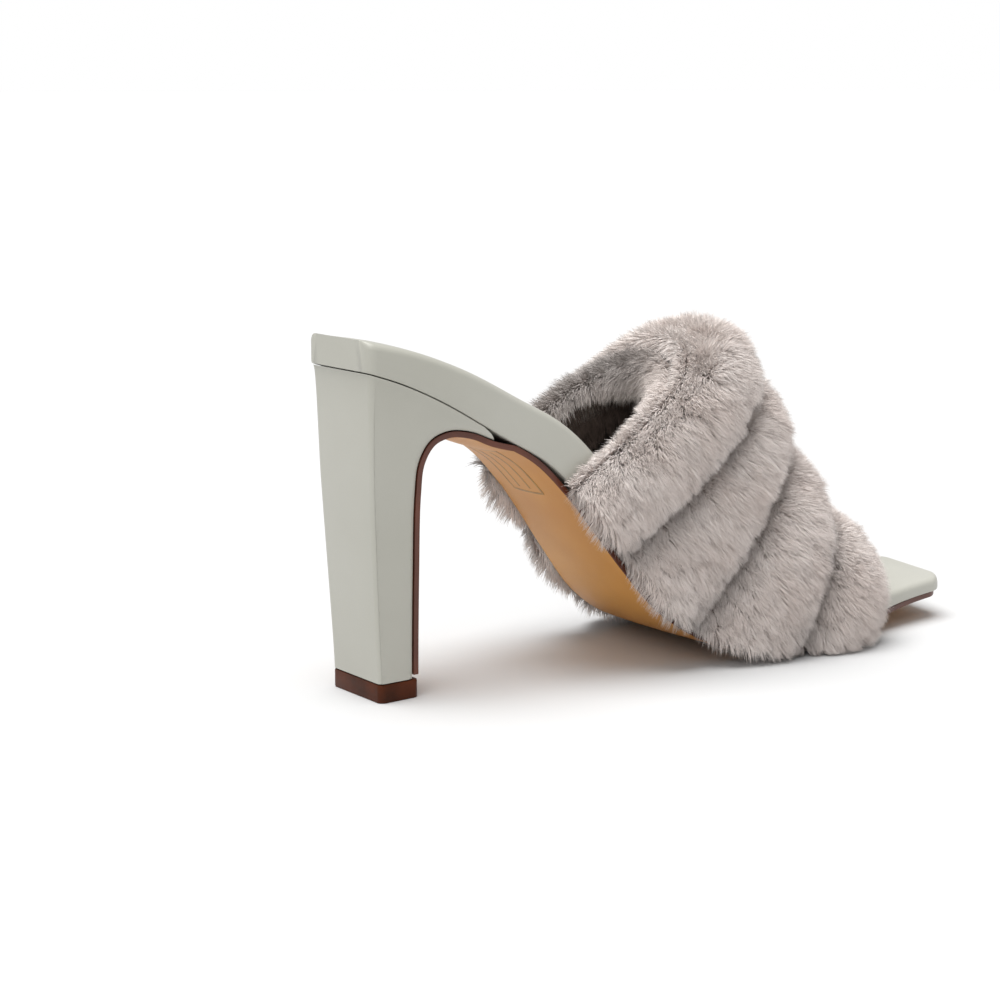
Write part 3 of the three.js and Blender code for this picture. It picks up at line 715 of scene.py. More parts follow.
rolls = [make_roll(i) for i in range(ROLLS)]
print("rolls:", [len(r.data.vertices) for r in rolls])

# %% Blow the rolls up with cloth
PRESSURE = 60.0
STRETCH_STIFFNESS = 20
BEND_STIFFNESS = 0.4
FRAMES = 20
MOST_MOVE = 2.2 * MM


def points_of(mesh):
    flat = np.zeros(len(mesh.vertices) * 3, np.float32)
    mesh.vertices.foreach_get("co", flat)
    return flat.reshape(-1, 3)


def values_of(mesh, name):
    flat = np.zeros(len(mesh.vertices), np.float32)
    mesh.attributes[name].data.foreach_get("value", flat)
    return flat


def pin_seams(piece):
    """Hold the sewn edges and the side that lies on the lining."""
    across, grows = values_of(piece.data, "across"), values_of(piece.data, "grows")
    held = (grows < 0.5) | (np.minimum(across, 1 - across) < 0.05)
    group = piece.vertex_groups.new(name="sewn")
    group.add(np.flatnonzero(held).tolist(), 1.0, "ADD")
    return group


def blow_up(piece):
    """Let pressure fill one roll, and give the furthest that a point moved, in metres."""
    group = pin_seams(piece)
    cloth = piece.modifiers.new("wadding", "CLOTH")
    settings = cloth.settings
    settings.vertex_group_mass = group.name
    settings.use_pressure = True
    settings.uniform_pressure_force = PRESSURE
    settings.effector_weights.gravity = 0
    settings.tension_stiffness = STRETCH_STIFFNESS
    settings.bending_stiffness = BEND_STIFFNESS
    cloth.point_cache.frame_start = 1
    cloth.point_cache.frame_end = FRAMES
    for number in range(1, FRAMES + 1):
        scene.frame_set(number)
    graph = bpy.context.evaluated_depsgraph_get()
    blown = points_of(piece.evaluated_get(graph).data)
    piece.modifiers.remove(cloth)
    rest = points_of(piece.data)
    move = np.nan_to_num(blown - rest)
    far = np.linalg.norm(move, axis=1, keepdims=True)
    move *= np.minimum(1, MOST_MOVE / np.maximum(far, 1e-9))
    piece.data.vertices.foreach_set("co", (rest + move).ravel())
    piece.data.update()
    scene.frame_set(1)
    return float(np.linalg.norm(move, axis=1).max())


for roll_piece in rolls:
    print(roll_piece.name, "moved up to", round(blow_up(roll_piece) * 1000, 2), "mm")

# %% Smooth the rolls once


def plain_mesh(piece):
    """Replace a piece's mesh with what its modifiers make of it, and drop the modifiers."""
    graph = bpy.context.evaluated_depsgraph_get()
    made = bpy.data.meshes.new_from_object(piece.evaluated_get(graph))
    piece.modifiers.clear()
    piece.data = made
    return piece


for roll_piece in rolls:
    smoother = roll_piece.modifiers.new("smoother", "SUBSURF")
    smoother.levels = smoother.render_levels = 1
    plain_mesh(roll_piece)
    roll_piece.vertex_groups.clear()
print("rolls:", [len(r.data.vertices) for r in rolls])

# %% [markdown]
# ## Fur as geometry
# Hair particles would be quick, but they don't survive an export, so each hair is a real blade:
# a narrow strip of two steps that ends in a point. Geometry Nodes scatter the roots, turn each
# blade away from the skin, lean it downwards and pull its tip towards the middle of a tuft.
# A tuft of a few millimetres is what makes plush look combed and slightly clumped. Marks on the
# skin make the hair shorter near a seam and paint shade into its colour there, where the groove
# lies in shadow, and comb it towards the mouth on the roll beside it.

# %% Helpers to build node trees


def add_sockets(tree, way, sockets):
    """Give a node group its inputs or outputs: a name, a kind and perhaps a first value."""
    for name, kind, *start in sockets:
        kind = f"NodeSocket{kind}"
        socket = tree.interface.new_socket(name, in_out=way, socket_type=kind)
        if start:
            socket.default_value = start[0]


def fill_in(tree, node, inputs):
    """Connect an output, or set a plain value, on each input that is given."""
    for key, value in inputs.items():
        if isinstance(value, bpy.types.NodeSocket):
            tree.links.new(value, node.inputs[key])
        elif value is not None:
            node.inputs[key].default_value = value


def add_node(tree, kind, inputs=None, **settings):
    """A node with its settings, and its inputs by name or number."""
    node = tree.nodes.new(kind)
    for name, value in settings.items():
        setattr(node, name, value)
    fill_in(tree, node, inputs or {})
    return node


def first_of(*words, **settings):
    """The first output of a new node."""
    return add_node(*words, **settings).outputs[0]


def maths(tree, operation, a, b=None):
    return first_of(tree, "ShaderNodeMath", {0: a, 1: b}, operation=operation)


def vector_maths(tree, operation, a, b=None, scale=None):
    inputs = {0: a, "Scale": scale} if operation == "SCALE" else {0: a, 1: b}
    return first_of(tree, "ShaderNodeVectorMath", inputs, operation=operation)


def product(tree, first, *others):
    for other in others:
        first = maths(tree, "MULTIPLY", first, other)
    return first


def noise(tree, place, scale, detail):
    return add_node(tree, "ShaderNodeTexNoise", {"Vector": place, "Scale": scale, "Detail": detail})


def random_between(tree, low, high, seed=None):
    return add_node(tree, "FunctionNodeRandomValue", {2: low, 3: high, "Seed": seed}).outputs[1]


def position(tree):
    return first_of(tree, "GeometryNodeInputPosition")


def parted(tree):
    """The X, Y and Z of each point's place."""
    return add_node(tree, "ShaderNodeSeparateXYZ", {0: position(tree)}).outputs


def joined(tree, x, y, z):
    return first_of(tree, "ShaderNodeCombineXYZ", {"X": x, "Y": y, "Z": z})


def moved(tree, geometry, socket, value):
    """The geometry with each point at a new Position, or shifted by an Offset."""
    return first_of(tree, "GeometryNodeSetPosition", {"Geometry": geometry, socket: value})


def named(tree, name, kind="FLOAT"):
    return first_of(tree, "GeometryNodeInputNamedAttribute", {"Name": name}, data_type=kind)


def store(tree, geometry, name, value, kind="FLOAT"):
    inputs = {"Geometry": geometry, "Name": name, "Value": value}
    settings = {"data_type": kind, "domain": "POINT"}
    return first_of(tree, "GeometryNodeStoreNamedAttribute", inputs, **settings)


# %% One blade of fur
BLADE_STEPS = 2
BLADE_TAPER = 1.6


def blade(tree):
    """A strip one unit high and one unit wide at its foot that narrows to a point."""
    grid = first_of(tree, "GeometryNodeMeshGrid", {
        "Size X": 1.0, "Size Y": 1.0, "Vertices X": 2, "Vertices Y": BLADE_STEPS + 1,
    })
    x, y, _ = parted(tree)
    height = maths(tree, "ADD", y, 0.5)
    width = maths(tree, "SUBTRACT", 1.0, maths(tree, "POWER", height, BLADE_TAPER))
    upright = joined(tree, product(tree, x, width), 0.0, height)
    shaped = moved(tree, store(tree, grid, "along", height), "Position", upright)
    return first_of(tree, "GeometryNodeMergeByDistance", {"Geometry": shaped, "Distance": 0.001})


# %% The fur tree
FUR_INPUTS = (
    ("Skin", "Geometry"), ("Density", "Float", 1.9e7), ("Length", "Float", 0.0068),
    ("Width", "Float", 0.00026), ("Tuft Size", "Float", 0.0045), ("Tuft Pull", "Float", 0.38),
    ("Droop", "Float", 0.3), ("Lean", "Vector", (0.12, -0.05, -0.28)), ("Spread", "Float", 0.3),
    ("From", "Float", 0.0), ("To", "Float", 1.0), ("Seed", "Int", 1), ("Finish", "Material"),
)
COMBED_BACK = (-0.35, 0.0, 0.2)
COMB_HOLD = 0.85
TUFT_CURVE = 1.4
DROOP_CURVE = 2.0
SHORTEST, LONGEST = 0.72, 1.08
FULL_TURN = 6.283
LOWEST_HAIR = 0.0004


def fur_tree():
    tree = bpy.data.node_groups.new("Fur pile", "GeometryNodeTree")
    add_sockets(tree, "INPUT", FUR_INPUTS)
    add_sockets(tree, "OUTPUT", [("Fur", "Geometry")])
    given = add_node(tree, "NodeGroupInput").outputs
    points, normal = scattered(tree, given)
    standing = placed_blades(tree, given, points, normal)
    bent = combed(tree, given, standing)
    above = kept_above_ground(tree, bent)
    done = first_of(tree, "GeometryNodeSetMaterial", {"Geometry": above, "Material": given["Finish"]})
    add_node(tree, "NodeGroupOutput", {0: done})
    return tree


def scattered(tree, given):
    """Roots on the outer skin, between two turns round the arch."""
    turn = named(tree, "turn")
    inside = product(
        tree, maths(tree, "GREATER_THAN", named(tree, "grows"), 0.75),
        maths(tree, "GREATER_THAN", turn, given["From"]), maths(tree, "LESS_THAN", turn, given["To"]),
    )
    scatter = add_node(tree, "GeometryNodeDistributePointsOnFaces", {
        "Mesh": given["Skin"], "Selection": inside, "Density": given["Density"], "Seed": given["Seed"],
    }, distribute_method="RANDOM", use_legacy_normal=False)
    return scatter.outputs["Points"], scatter.outputs["Normal"]


def placed_blades(tree, given, points, normal):
    """A blade on each root, combed where a mark says so, and rolled by a random angle."""
    here = position(tree)
    coarse = noise(tree, here, 110.0, 2.0).outputs["Color"]
    stray = vector_maths(tree, "SUBTRACT", coarse, (0.5, 0.5, 0.5))
    stray = vector_maths(tree, "SCALE", stray, scale=product(tree, given["Spread"], 4.0))
    single = first_of(tree, "FunctionNodeRandomValue", {
        0: (-1.0, -1.0, -1.0), 1: (1.0, 1.0, 1.0), "Seed": given["Seed"],
    }, data_type="FLOAT_VECTOR")
    single = vector_maths(tree, "SCALE", single, scale=given["Spread"])
    combed_back = vector_maths(tree, "SCALE", COMBED_BACK, scale=named(tree, "comb"))
    leant = vector_maths(tree, "ADD", vector_maths(tree, "ADD", normal, combed_back), given["Lean"])
    way = vector_maths(tree, "ADD", leant, vector_maths(tree, "ADD", stray, single))
    kept = store(tree, points, "lie", normal, "FLOAT_VECTOR")
    kept = store(tree, kept, "root", here, "FLOAT_VECTOR")
    kept = store(tree, kept, "shade", random_between(tree, 0.0, 1.0))
    # The seam mark carries painted shade into the blades: darker colour in the grooves and inside the
    # mouth.
    kept = store(tree, kept, "fold", named(tree, "seam"))
    aimed = first_of(tree, "FunctionNodeAlignRotationToVector", {"Vector": way}, axis="Z")
    spin = first_of(tree, "FunctionNodeAxisAngleToRotation", {
        "Axis": (0.0, 0.0, 1.0), "Angle": random_between(tree, 0.0, FULL_TURN, 7),
    })
    turned = first_of(tree, "FunctionNodeRotateRotation", {
        "Rotation": aimed, "Rotate By": spin,
    }, rotation_space="LOCAL")
    vary = random_between(tree, SHORTEST, LONGEST, 3)
    tall = product(tree, given["Length"], vary, named(tree, "trim"))
    placed = first_of(tree, "GeometryNodeInstanceOnPoints", {
        "Points": kept, "Instance": blade(tree), "Rotation": turned,
        "Scale": joined(tree, given["Width"], 1.0, tall),
    })
    return first_of(tree, "GeometryNodeRealizeInstances", {"Geometry": placed})


def combed(tree, given, standing):
    """Bend each blade down, and draw its tip towards the middle of its tuft."""
    root, height = named(tree, "root", "FLOAT_VECTOR"), named(tree, "along")
    cells = maths(tree, "DIVIDE", 1.0, given["Tuft Size"])
    tuft = add_node(tree, "ShaderNodeTexVoronoi", {"Vector": root, "Scale": cells, "Randomness": 1.0})
    middle = tuft.outputs["Position"]
    held = maths(tree, "SUBTRACT", 1.0, product(tree, named(tree, "comb"), COMB_HOLD))
    pull = product(tree, maths(tree, "POWER", height, TUFT_CURVE), given["Tuft Pull"], held)
    to_tuft = vector_maths(tree, "SCALE", vector_maths(tree, "SUBTRACT", middle, root), scale=pull)
    fall = product(tree, maths(tree, "POWER", height, DROOP_CURVE), given["Droop"], given["Length"])
    downwards = vector_maths(tree, "SCALE", (0.0, 0.0, -1.0), scale=fall)
    return moved(tree, standing, "Offset", vector_maths(tree, "ADD", to_tuft, downwards))


def kept_above_ground(tree, bent):
    """No hair passes through the floor: it stops a hair's breadth above it."""
    x, y, z = parted(tree)
    place = joined(tree, x, y, maths(tree, "MAXIMUM", z, LOWEST_HAIR))
    return moved(tree, bent, "Position", place)


fur_nodes = fur_tree()
print("fur tree:", len(fur_nodes.nodes), "nodes")

# %% [markdown]
# ## Finishes
# Every finish starts from the same idea: a base colour that drifts a little, a roughness that
# drifts with it, and a height for the bump. That idea is one shader group. What differs is the
# scale of the grain, so coated cloth, sole leather, woven lining and the fur's backing share the
# group but not its values. Gloss stays on the shader itself, as a plain number.

# %% A shared group for drifting colour and grain


def tone(red, green, blue):
    """A colour as a paint chart gives it, from 0 to 255, in the light units that shaders use."""
    chart = np.array([red, green, blue]) / 255
    linear = np.where(chart <= 0.04045, chart / 12.92, ((chart + 0.055) / 1.055) ** 2.4)
    return (*linear.tolist(), 1.0)


def mixed(tree, share, a, b, blend="MIX"):
    node = add_node(tree, "ShaderNodeMix", {0: share}, data_type="RGBA", blend_type=blend)
    colours = [i for i, socket in enumerate(node.inputs) if socket.type == "RGBA"]
    fill_in(tree, node, dict(zip(colours, (a, b))))
    return next(socket for socket in node.outputs if socket.type == "RGBA")


def ranged(tree, value, low, high, start=0.0, end=1.0):
    return first_of(tree, "ShaderNodeMapRange", {0: value, 1: start, 2: end, 3: low, 4: high})


def bumped(tree, strength, depth, height):
    inputs = {"Strength": strength, "Distance": depth, "Height": height}
    return first_of(tree, "ShaderNodeBump", inputs)


SURFACE_INPUTS = (
    ("Light", "Color", (1, 1, 1, 1)), ("Dark", "Color", (0, 0, 0, 1)), ("Drift Scale", "Float", 20.0),
    ("Grain Scale", "Float", 900.0), ("Smoothest", "Float", 0.3), ("Roughest", "Float", 0.5),
)
SURFACE_OUTPUTS = (("Colour", "Color"), ("Roughness", "Float"), ("Height", "Float"))


def surface_group():
    group = bpy.data.node_groups.new("Drifting surface", "ShaderNodeTree")
    add_sockets(group, "INPUT", SURFACE_INPUTS)
    add_sockets(group, "OUTPUT", SURFACE_OUTPUTS)
    given = add_node(group, "NodeGroupInput").outputs
    place = add_node(group, "ShaderNodeTexCoord").outputs["Object"]
    drift = noise(group, place, given["Drift Scale"], 4.0).outputs[0]
    grain = add_node(group, "ShaderNodeTexVoronoi", {
        "Vector": place, "Scale": given["Grain Scale"],
    }).outputs["Distance"]
    fine = noise(group, place, given["Grain Scale"], 3.0).outputs[0]
    wide = ranged(group, drift, 0.0, 1.0, 0.35, 0.65)
    add_node(group, "NodeGroupOutput", {
        "Colour": mixed(group, wide, given["Dark"], given["Light"]),
        "Roughness": ranged(group, fine, given["Smoothest"], given["Roughest"]),
        "Height": maths(group, "ADD", grain, fine),
    })
    return group


drifting = surface_group()
print("shared group:", drifting.name)

# %% Make a plain finish from the group
GRAIN_DEPTH = 0.0001


def new_material(name):
    made = bpy.data.materials.new(name)
    made.use_nodes = True
    return made, made.node_tree, made.node_tree.nodes["Principled BSDF"]


def finish(name, light, dark, drift=20.0, grain=900.0, rough=(0.3, 0.5), bump=0.1, gloss=None):
    """A finish with drifting colour and grain. Gloss is set on the shader itself."""
    made, tree, shader = new_material(name)
    surface = add_node(tree, "ShaderNodeGroup", {
        "Light": tone(*light), "Dark": tone(*dark), "Drift Scale": drift, "Grain Scale": grain,
        "Smoothest": rough[0], "Roughest": rough[1],
    }, node_tree=drifting).outputs
    fill_in(tree, shader, {
        "Base Color": surface["Colour"], "Roughness": surface["Roughness"],
        "Normal": bumped(tree, bump, GRAIN_DEPTH, surface["Height"]), **(gloss or {}),
    })
    return made


sage = finish("Sage coated cloth", (184, 183, 174), (176, 175, 165), 14, 1500, (0.34, 0.46), 0.12,
              {"Coat Weight": 0.08, "Coat Roughness": 0.2, "Specular IOR Level": 0.4})
tan = finish("Tan sole leather", (206, 148, 72), (190, 132, 60), 22, 1800, (0.42, 0.58), 0.2)
dyed_edge = finish("Dyed sole edge", (100, 52, 34), (78, 40, 28), 60, 1200, (0.35, 0.5), 0.2)
tip_brown = finish("Tip polyurethane", (86, 40, 18), (60, 28, 12), 90, 700, (0.34, 0.46), 0.08,
                   {"Specular IOR Level": 0.15})
gold = finish("Gold foil", (160, 118, 38), (136, 98, 28), 300, 2500, (0.3, 0.45), 0.15,
              {"Metallic": 0.4})
print("finishes:", [m.name for m in (sage, tan, dyed_edge, tip_brown, gold)])

# %% [markdown]
# ## Hair and its skin
# Plush hair is pale at the tip and darker at the root, because light hardly reaches the root.
# That root shade is painted into the colour, which runs along each blade by the attribute that
# the blade carries; shade near seams and inside the mouth is painted in the same way. Shading
# each flat blade by its own face would glitter, so its normal is half that of the skin beneath it.

# %% Make the fur finish
PALE_FROM = 0.45
TIP_PALE = tone(252, 244, 239)
TIP_DEEP = tone(236, 223, 216)
# The tip colours are the fur's own; the root colour is painted shade, since light hardly reaches the
# roots.
SHADED_ROOT_TAUPE = tone(186, 168, 160)


def attribute(tree, name, output="Fac"):
    return add_node(tree, "ShaderNodeAttribute", {}, attribute_name=name).outputs[output]


def fur_finish(name, pale, deep, root):
    made, tree, shader = new_material(name)
    place = attribute(tree, "root", "Vector")
    patches = noise(tree, place, 70.0, 3.0).outputs[0]
    mottle = ranged(tree, patches, 0.0, 1.0, 0.35, 0.65)
    single = maths(tree, "MULTIPLY", attribute(tree, "shade"), 0.5)
    share = maths(tree, "ADD", maths(tree, "MULTIPLY", mottle, 0.5), single)
    tips = mixed(tree, share, deep, pale)
    # Painted shade along each blade: the root colour at its foot, the tip colour from PALE_FROM on.
    along_hair = ranged(tree, attribute(tree, "along"), 0.0, 1.0, 0.0, PALE_FROM)
    colour = mixed(tree, along_hair, root, tips)
    # Painted shade: the colour is darkened near seams and inside the mouth, where shade falls.
    fold = ranged(tree, attribute(tree, "fold"), 1.0, 0.2, 0.0, 2.0)
    colour = mixed(tree, 1.0, colour, fold, "MULTIPLY")
    skin = attribute(tree, "lie", "Vector")
    own = add_node(tree, "ShaderNodeNewGeometry").outputs["Normal"]
    blended = vector_maths(tree, "NORMALIZE", vector_maths(tree, "ADD", skin, own))
    fill_in(tree, shader, {
        "Base Color": colour, "Normal": blended, "Roughness": 0.72, "Specular IOR Level": 0.25,
        "Sheen Weight": 0.25, "Sheen Roughness": 0.5,
    })
    return made


fur = fur_finish("Mauve grey fur", TIP_PALE, TIP_DEEP, SHADED_ROOT_TAUPE)
# The fur inside the mouth is the same fur in darker colours: painted shade, as light hardly gets in
# there.
inner_fur_painted_shade = fur_finish("Inner fur, painted shade", tone(180, 156, 144), tone(150, 128, 116), tone(92, 76, 68))
skin_cloth = finish("Fur backing", (140, 124, 118), (112, 98, 92), 60, 1500, (0.85, 0.95), 0.4)
print("fur finishes made")

# %% Make the woven and hidden finishes


def woven(name, light, dark, pitch):
    """Plain weave: two sets of threads cross, and the bump follows them."""
    made = finish(name, light, dark, 30, 2000, (0.8, 0.95), 0.3)
    tree = made.node_tree
    place = add_node(tree, "ShaderNodeTexCoord").outputs["Object"]
    threads = [add_node(tree, "ShaderNodeTexWave", {
        "Vector": place, "Scale": 0.05 / (pitch * MM), "Distortion": 0.6,
    }, bands_direction=way).outputs["Fac"] for way in ("X", "Y")]
    weave = bumped(tree, 0.5, 0.0002, product(tree, *threads))
    fill_in(tree, tree.nodes["Principled BSDF"], {"Normal": weave})
    return made


lining_cloth = woven("Lining cloth", (70, 61, 56), (52, 45, 41), 0.6)
hidden = {
    "heel_core": finish("Heel plastic", (58, 58, 62), (42, 42, 46), 40, 500, (0.4, 0.55), 0.1),
    "insole_foam": finish("Foam", (222, 212, 176), (208, 196, 160), 200, 1400, (0.9, 1.0), 0.6),
    "insole_board": finish("Fibre board", (150, 118, 84), (128, 98, 68), 150, 900, (0.8, 0.95), 0.4),
    "bottom_filler": finish("Felt filler", (176, 146, 108), (140, 110, 78), 260, 700, (0.85, 1), 0.5),
}
steel = finish("Steel", (170, 172, 176), (140, 142, 146), 80, 2600, (0.25, 0.4), 0.05,
               {"Metallic": 1.0})
for node_name in ("top_piece_pin", "heel_screw", "shank", "heel_nail_1", "heel_nail_2",
                  "heel_nail_3", "heel_nail_4", "shank_rivet_1", "shank_rivet_2"):
    hidden[node_name] = steel
hidden["lasting_margin_outer"] = hidden["lasting_margin_inner"] = skin_cloth
for node_name, look in hidden.items():
    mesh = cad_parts[node_name].data
    mesh.materials.clear()
    mesh.materials.append(look)
print("finishes on carried-over parts:", len(hidden))

# %% Put finishes on the hard pieces


def dress(piece, *looks):
    piece.data.materials.clear()
    for look in looks:
        piece.data.materials.append(look)


def dye_edge(piece):
    """Give the second finish to every face that isn't on the sole's flat underside."""
    size = 2 * (2 * CORNER_STEPS + ACROSS)
    half = size // 2
    for face in piece.data.polygons:
        ring_spots = [v % size for v in face.vertices]
        on_face = all(half + CORNER_STEPS - 3 <= s <= size - CORNER_STEPS + 2 for s in ring_spots)
        face.material_index = 0 if on_face else 1


dress(insole, sage)
dress(heel, sage)
dress(tip, tip_brown)
dress(outsole, tan, dyed_edge)
dress(foil, gold)
dye_edge(outsole)
dress(lining, lining_cloth)
dress(facing, skin_cloth)
for roll_piece in rolls:
    dress(roll_piece, skin_cloth)
print("dressed the hard pieces")

# %% Grow the fur
FUR_PATCHES = [(0.0, 0.27, 0.5, 0.75, 1.0)] + [(0.0, 0.5, 1.0)] * (ROLLS - 1)


def grow(skin, name, look, turns, seed, **sizes):
    """Fur on one stretch of a skin, as a plain mesh of its own."""
    piece = bpy.data.objects.new(name, skin.data.copy())
    scene.collection.objects.link(piece)
    growth = piece.modifiers.new("fur", "NODES")
    growth.node_group = fur_nodes
    keys = {item.name: item.identifier for item in fur_nodes.interface.items_tree
            if item.item_type == "SOCKET" and item.in_out == "INPUT"}
    values = {"From": turns[0], "To": turns[1], "Seed": seed, "Finish": look, **sizes}
    for key, value in values.items():
        growth[keys[key]] = value
    plain_mesh(piece)
    piece.data.materials.clear()
    piece.data.materials.append(look)
    return piece


fur_pieces = []
for roll_number, turns in enumerate(FUR_PATCHES):
    for patch, limits in enumerate(zip(turns, turns[1:])):
        label = f"fur_{roll_number + 1}_{'abcd'[patch]}"
        fur_pieces.append(grow(rolls[roll_number], label, fur, limits, 10 * roll_number + patch))
for fur_piece in fur_pieces:
    print(fur_piece.name, len(fur_piece.data.polygons), "faces")

# %% [markdown]
# ## Fur turned in at the mouth
# Two open skins carry this fur. One lies just proud of the facing and grows short hair that
# leans into the mouth, painted dark for the shade in there. The other bulges round the mouth's
# edge, from the first roll to the facing, and its hair is combed back, so no parting shows where
# the skins meet. On the foot's outer side the bulge is smaller and the hair is shorter, as it is
# on the shoe. Away from that side, its fur is painted darker towards the inside, for the shade.

# %% Grow the fur inside the mouth
RIM_BULGE = 0.17
LESS_OUTSIDE = 0.7
RIM_LIFT = 0.5
RIM_START = (0.09, 0.06, 0.03)
INTO_MOUTH = (-1.0, 0.0, -0.3)


def mouth_skin(name, rows, turns, shade):
    """A surface round the mouth from rows of (seams, height), marked like a roll for the fur tree.

    Shade is the painted shade on each row's fur, for how deep in shadow it lies. Fur is short on the
    foot's outer side.
    """
    grid = np.array([off_vamp(seams, turns, height) for seams, height in rows])
    count = len(turns)
    faces = [(r * count + c, (r + 1) * count + c, (r + 1) * count + c + 1, r * count + c + 1)
             for r in range(len(rows) - 1) for c in range(count - 1)]
    mesh = bpy.data.meshes.new(name)
    mesh.from_pydata((grid.reshape(-1, 3) * MM).tolist(), [], faces)
    at_top = (len(rows) // 2) * (count - 1) + count // 2
    if np.dot(mesh.polygons[at_top].normal, INTO_MOUTH) < 0:
        mesh.flip_normals()
    round_mouth = np.linspace(0.01, 0.99, count)
    trim = 1 - MOUTH_TRIM * outer_side(round_mouth)
    # Painted shade, kept in the seam mark: none on the foot's outer side, and full over the top and on
    # the inner side, where the mouth lies in shadow.
    shade = np.outer(shade, 1 - outer_side(round_mouth)).ravel()
    write_marks(mesh, {
        "turn": np.tile(round_mouth, len(rows)), "grows": np.ones(len(rows) * count),
        "seam": shade, "trim": np.tile(trim, len(rows)),
        "comb": np.repeat(1 - ease(np.linspace(0, 1, len(rows)), 0.1, 0.7), count),
    })
    return bpy.data.objects.new(name, mesh)


inside_height = -LINING_THICKNESS - GAP - FACING_THICKNESS
inside_rows = [(s, inside_height) for s in np.linspace(0.0, FACING_DEPTH, 14)]
rim_turns = np.linspace(-HEM_TURN, math.pi + HEM_TURN, 90)
rim_top = skin_height(0, 0, rim_turns)
rim_bulge = RIM_BULGE * (1 - LESS_OUTSIDE * outer_side(np.linspace(0.01, 0.99, len(rim_turns))))
rim_rows = [(share, skin_height(0, share, rim_turns) + RIM_LIFT) for share in RIM_START]
rim_rows += [(SEAM_MARGIN - rim_bulge * math.sin(bend),
              inside_height + (rim_top + RIM_LIFT - inside_height) * (1 + math.cos(bend)) / 2)
             for bend in np.linspace(0, math.pi, 11)]
# Painted shade for each row, growing deeper into the mouth and down the rim's inside.
inside_shade = np.linspace(1.1, 1.4, len(inside_rows))
rim_shade = 1.3 * ease(np.linspace(0, 1, len(rim_rows)), 0.1, 0.8)
inside_skin = mouth_skin("inside_skin", inside_rows, np.linspace(*FACING_TURNS, 60), inside_shade)
rim_skin = mouth_skin("rim_skin", rim_rows, rim_turns, rim_shade)
inside_sizes = {"Length": 0.0065, "Density": 1.3e7, "Lean": (-0.5, 0.0, -0.2)}
rim_sizes = {"Length": 0.0066, "Density": 1.9e7, "Lean": (0.0, 0.0, -0.1)}
fur_pieces.append(grow(inside_skin, "fur_inside_mouth", inner_fur_painted_shade, (0.0, 1.0), 91, **inside_sizes))
fur_pieces.append(grow(rim_skin, "fur_mouth_rim", fur, (0.0, 1.0), 92, **rim_sizes))
for skin in (inside_skin, rim_skin):
    bpy.data.objects.remove(skin)
print([(p.name, len(p.data.polygons)) for p in fur_pieces[-2:]])

# %% [markdown]
# ## Camera, floor and light
# The camera stands low behind the heel's outer side, with a long lens, as in a shop picture.
# The world, one broad sun and one large lamp are all soft, so the only shadows are the faint
# ones under the shoe. The floor is a pale grey that this light turns white, and the camera sees
# the world as white. Display is set to plain, so white stays white.

# %% Place the camera
LENS = 87.85
CAMERA_PLACE = (-0.3592, -0.5988, 0.1755)
CAMERA_DOWN = 9.633
CAMERA_TURN = 33.93


def set_up(data, place, turn, **settings):
    """Give a camera or a light its settings, and put it in the scene."""
    for key, value in settings.items():
        setattr(data, key, value)
    holder = bpy.data.objects.new(data.name, data)
    holder.location, holder.rotation_euler = place, turn
    scene.collection.objects.link(holder)
    return holder


scene.camera = set_up(
    bpy.data.cameras.new("camera"), CAMERA_PLACE,
    (math.radians(90 - CAMERA_DOWN), 0, math.radians(-CAMERA_TURN)),
    lens=LENS, sensor_width=36, clip_start=0.01,
)
print("camera:", scene.camera.location)

# %% Make the floor and the lights
scene.view_settings.view_transform = "Standard"
AMBIENT = 0.5
OVERHEAD = 3.5
OVERHEAD_SPREAD = 50
FLOOR_GREY = 0.645
FLOOR_REACH = 60.0
KEY_PLACE = (-0.9, -0.9, 0.9)
KEY_TARGET = (0.1, 0.0, 0.05)


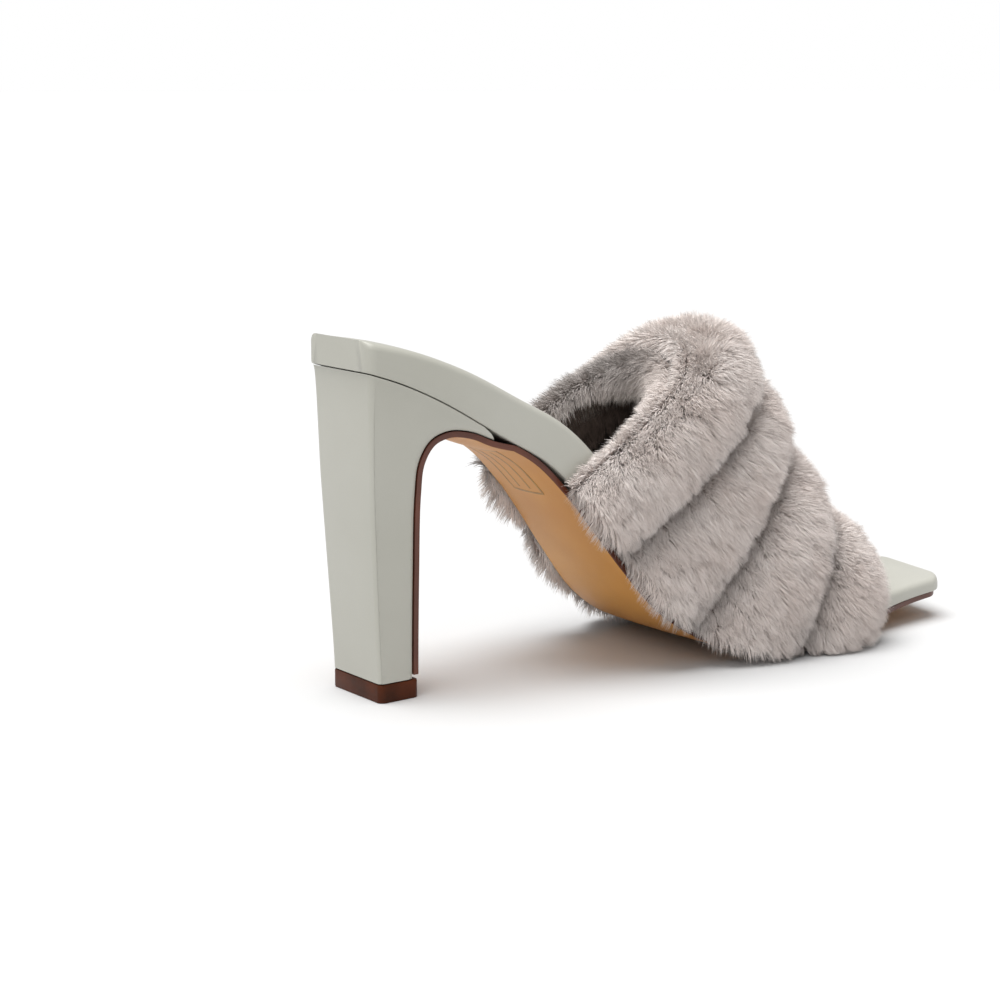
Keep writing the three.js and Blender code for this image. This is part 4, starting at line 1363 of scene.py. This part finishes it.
def make_floor():
    mesh = bpy.data.meshes.new("floor")
    corners = [(FLOOR_REACH * x, FLOOR_REACH * y, 0) for x, y in ((-1, -1), (1, -1), (1, 1), (-1, 1))]
    mesh.from_pydata(corners, [], [(0, 1, 2, 3)])
    floor = bpy.data.objects.new("floor", mesh)
    scene.collection.objects.link(floor)
    made, tree, shader = new_material("Pale floor")
    fill_in(tree, shader, {
        "Base Color": (FLOOR_GREY, FLOOR_GREY, FLOOR_GREY, 1), "Roughness": 1.0,
        "Specular IOR Level": 0.0,
    })
    mesh.materials.append(made)
    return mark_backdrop(floor)


def towards(place, target):
    """The turn that points a lamp at a place from another."""
    away = np.array(target) - np.array(place)
    down = math.acos(-away[2] / np.linalg.norm(away))
    return down, 0, math.atan2(away[1], away[0]) - math.pi / 2


make_floor()
world = bpy.data.worlds.new("studio")
world.use_nodes = True
sky = world.node_tree
backdrop_seen = add_node(sky, "ShaderNodeLightPath").outputs["Is Camera Ray"]
strength = ranged(sky, backdrop_seen, AMBIENT, 1.0)
fill_in(sky, sky.nodes["Background"], {"Color": (1, 1, 1, 1), "Strength": strength})
scene.world = world
set_up(
    bpy.data.lights.new("overhead", "SUN"), (0, 0, 0), (math.radians(-3), math.radians(-10), 0),
    energy=OVERHEAD, angle=math.radians(OVERHEAD_SPREAD),
)
set_up(
    bpy.data.lights.new("key", "AREA"), KEY_PLACE, towards(KEY_PLACE, KEY_TARGET),
    shape="DISK", size=0.8, energy=3,
)

# %% [markdown]
# ## Tie the pieces to the shoe
# Each visible piece rides on the shoe's one body, and the imported parts that it stands for are
# hidden.

# %% Tie the pieces to the parts
HANDOVER = [
    (insole, ["insole_cover"], "cover_leatherette"), (heel, ["heel_cover"], "cover_leatherette"),
    (tip, ["top_piece"], "top_piece_tpu"), (outsole, ["outsole"], "outsole"),
    (foil, [], "outsole"), (lining, ["vamp_lining"], "lining"), (facing, ["mouth_facing"], "faux_fur"),
]
for number, roll_piece in enumerate(rolls, 1):
    HANDOVER.append((roll_piece, [f"fur_roll_{number}", f"padding_roll_{number}"], "faux_fur"))
for fur_piece in fur_pieces:
    HANDOVER.append((fur_piece, [], "faux_fur"))
for piece, nodes, slot_name in HANDOVER:
    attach(piece, "root")
    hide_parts(*nodes)
print("handed over:", len(HANDOVER), "pieces")
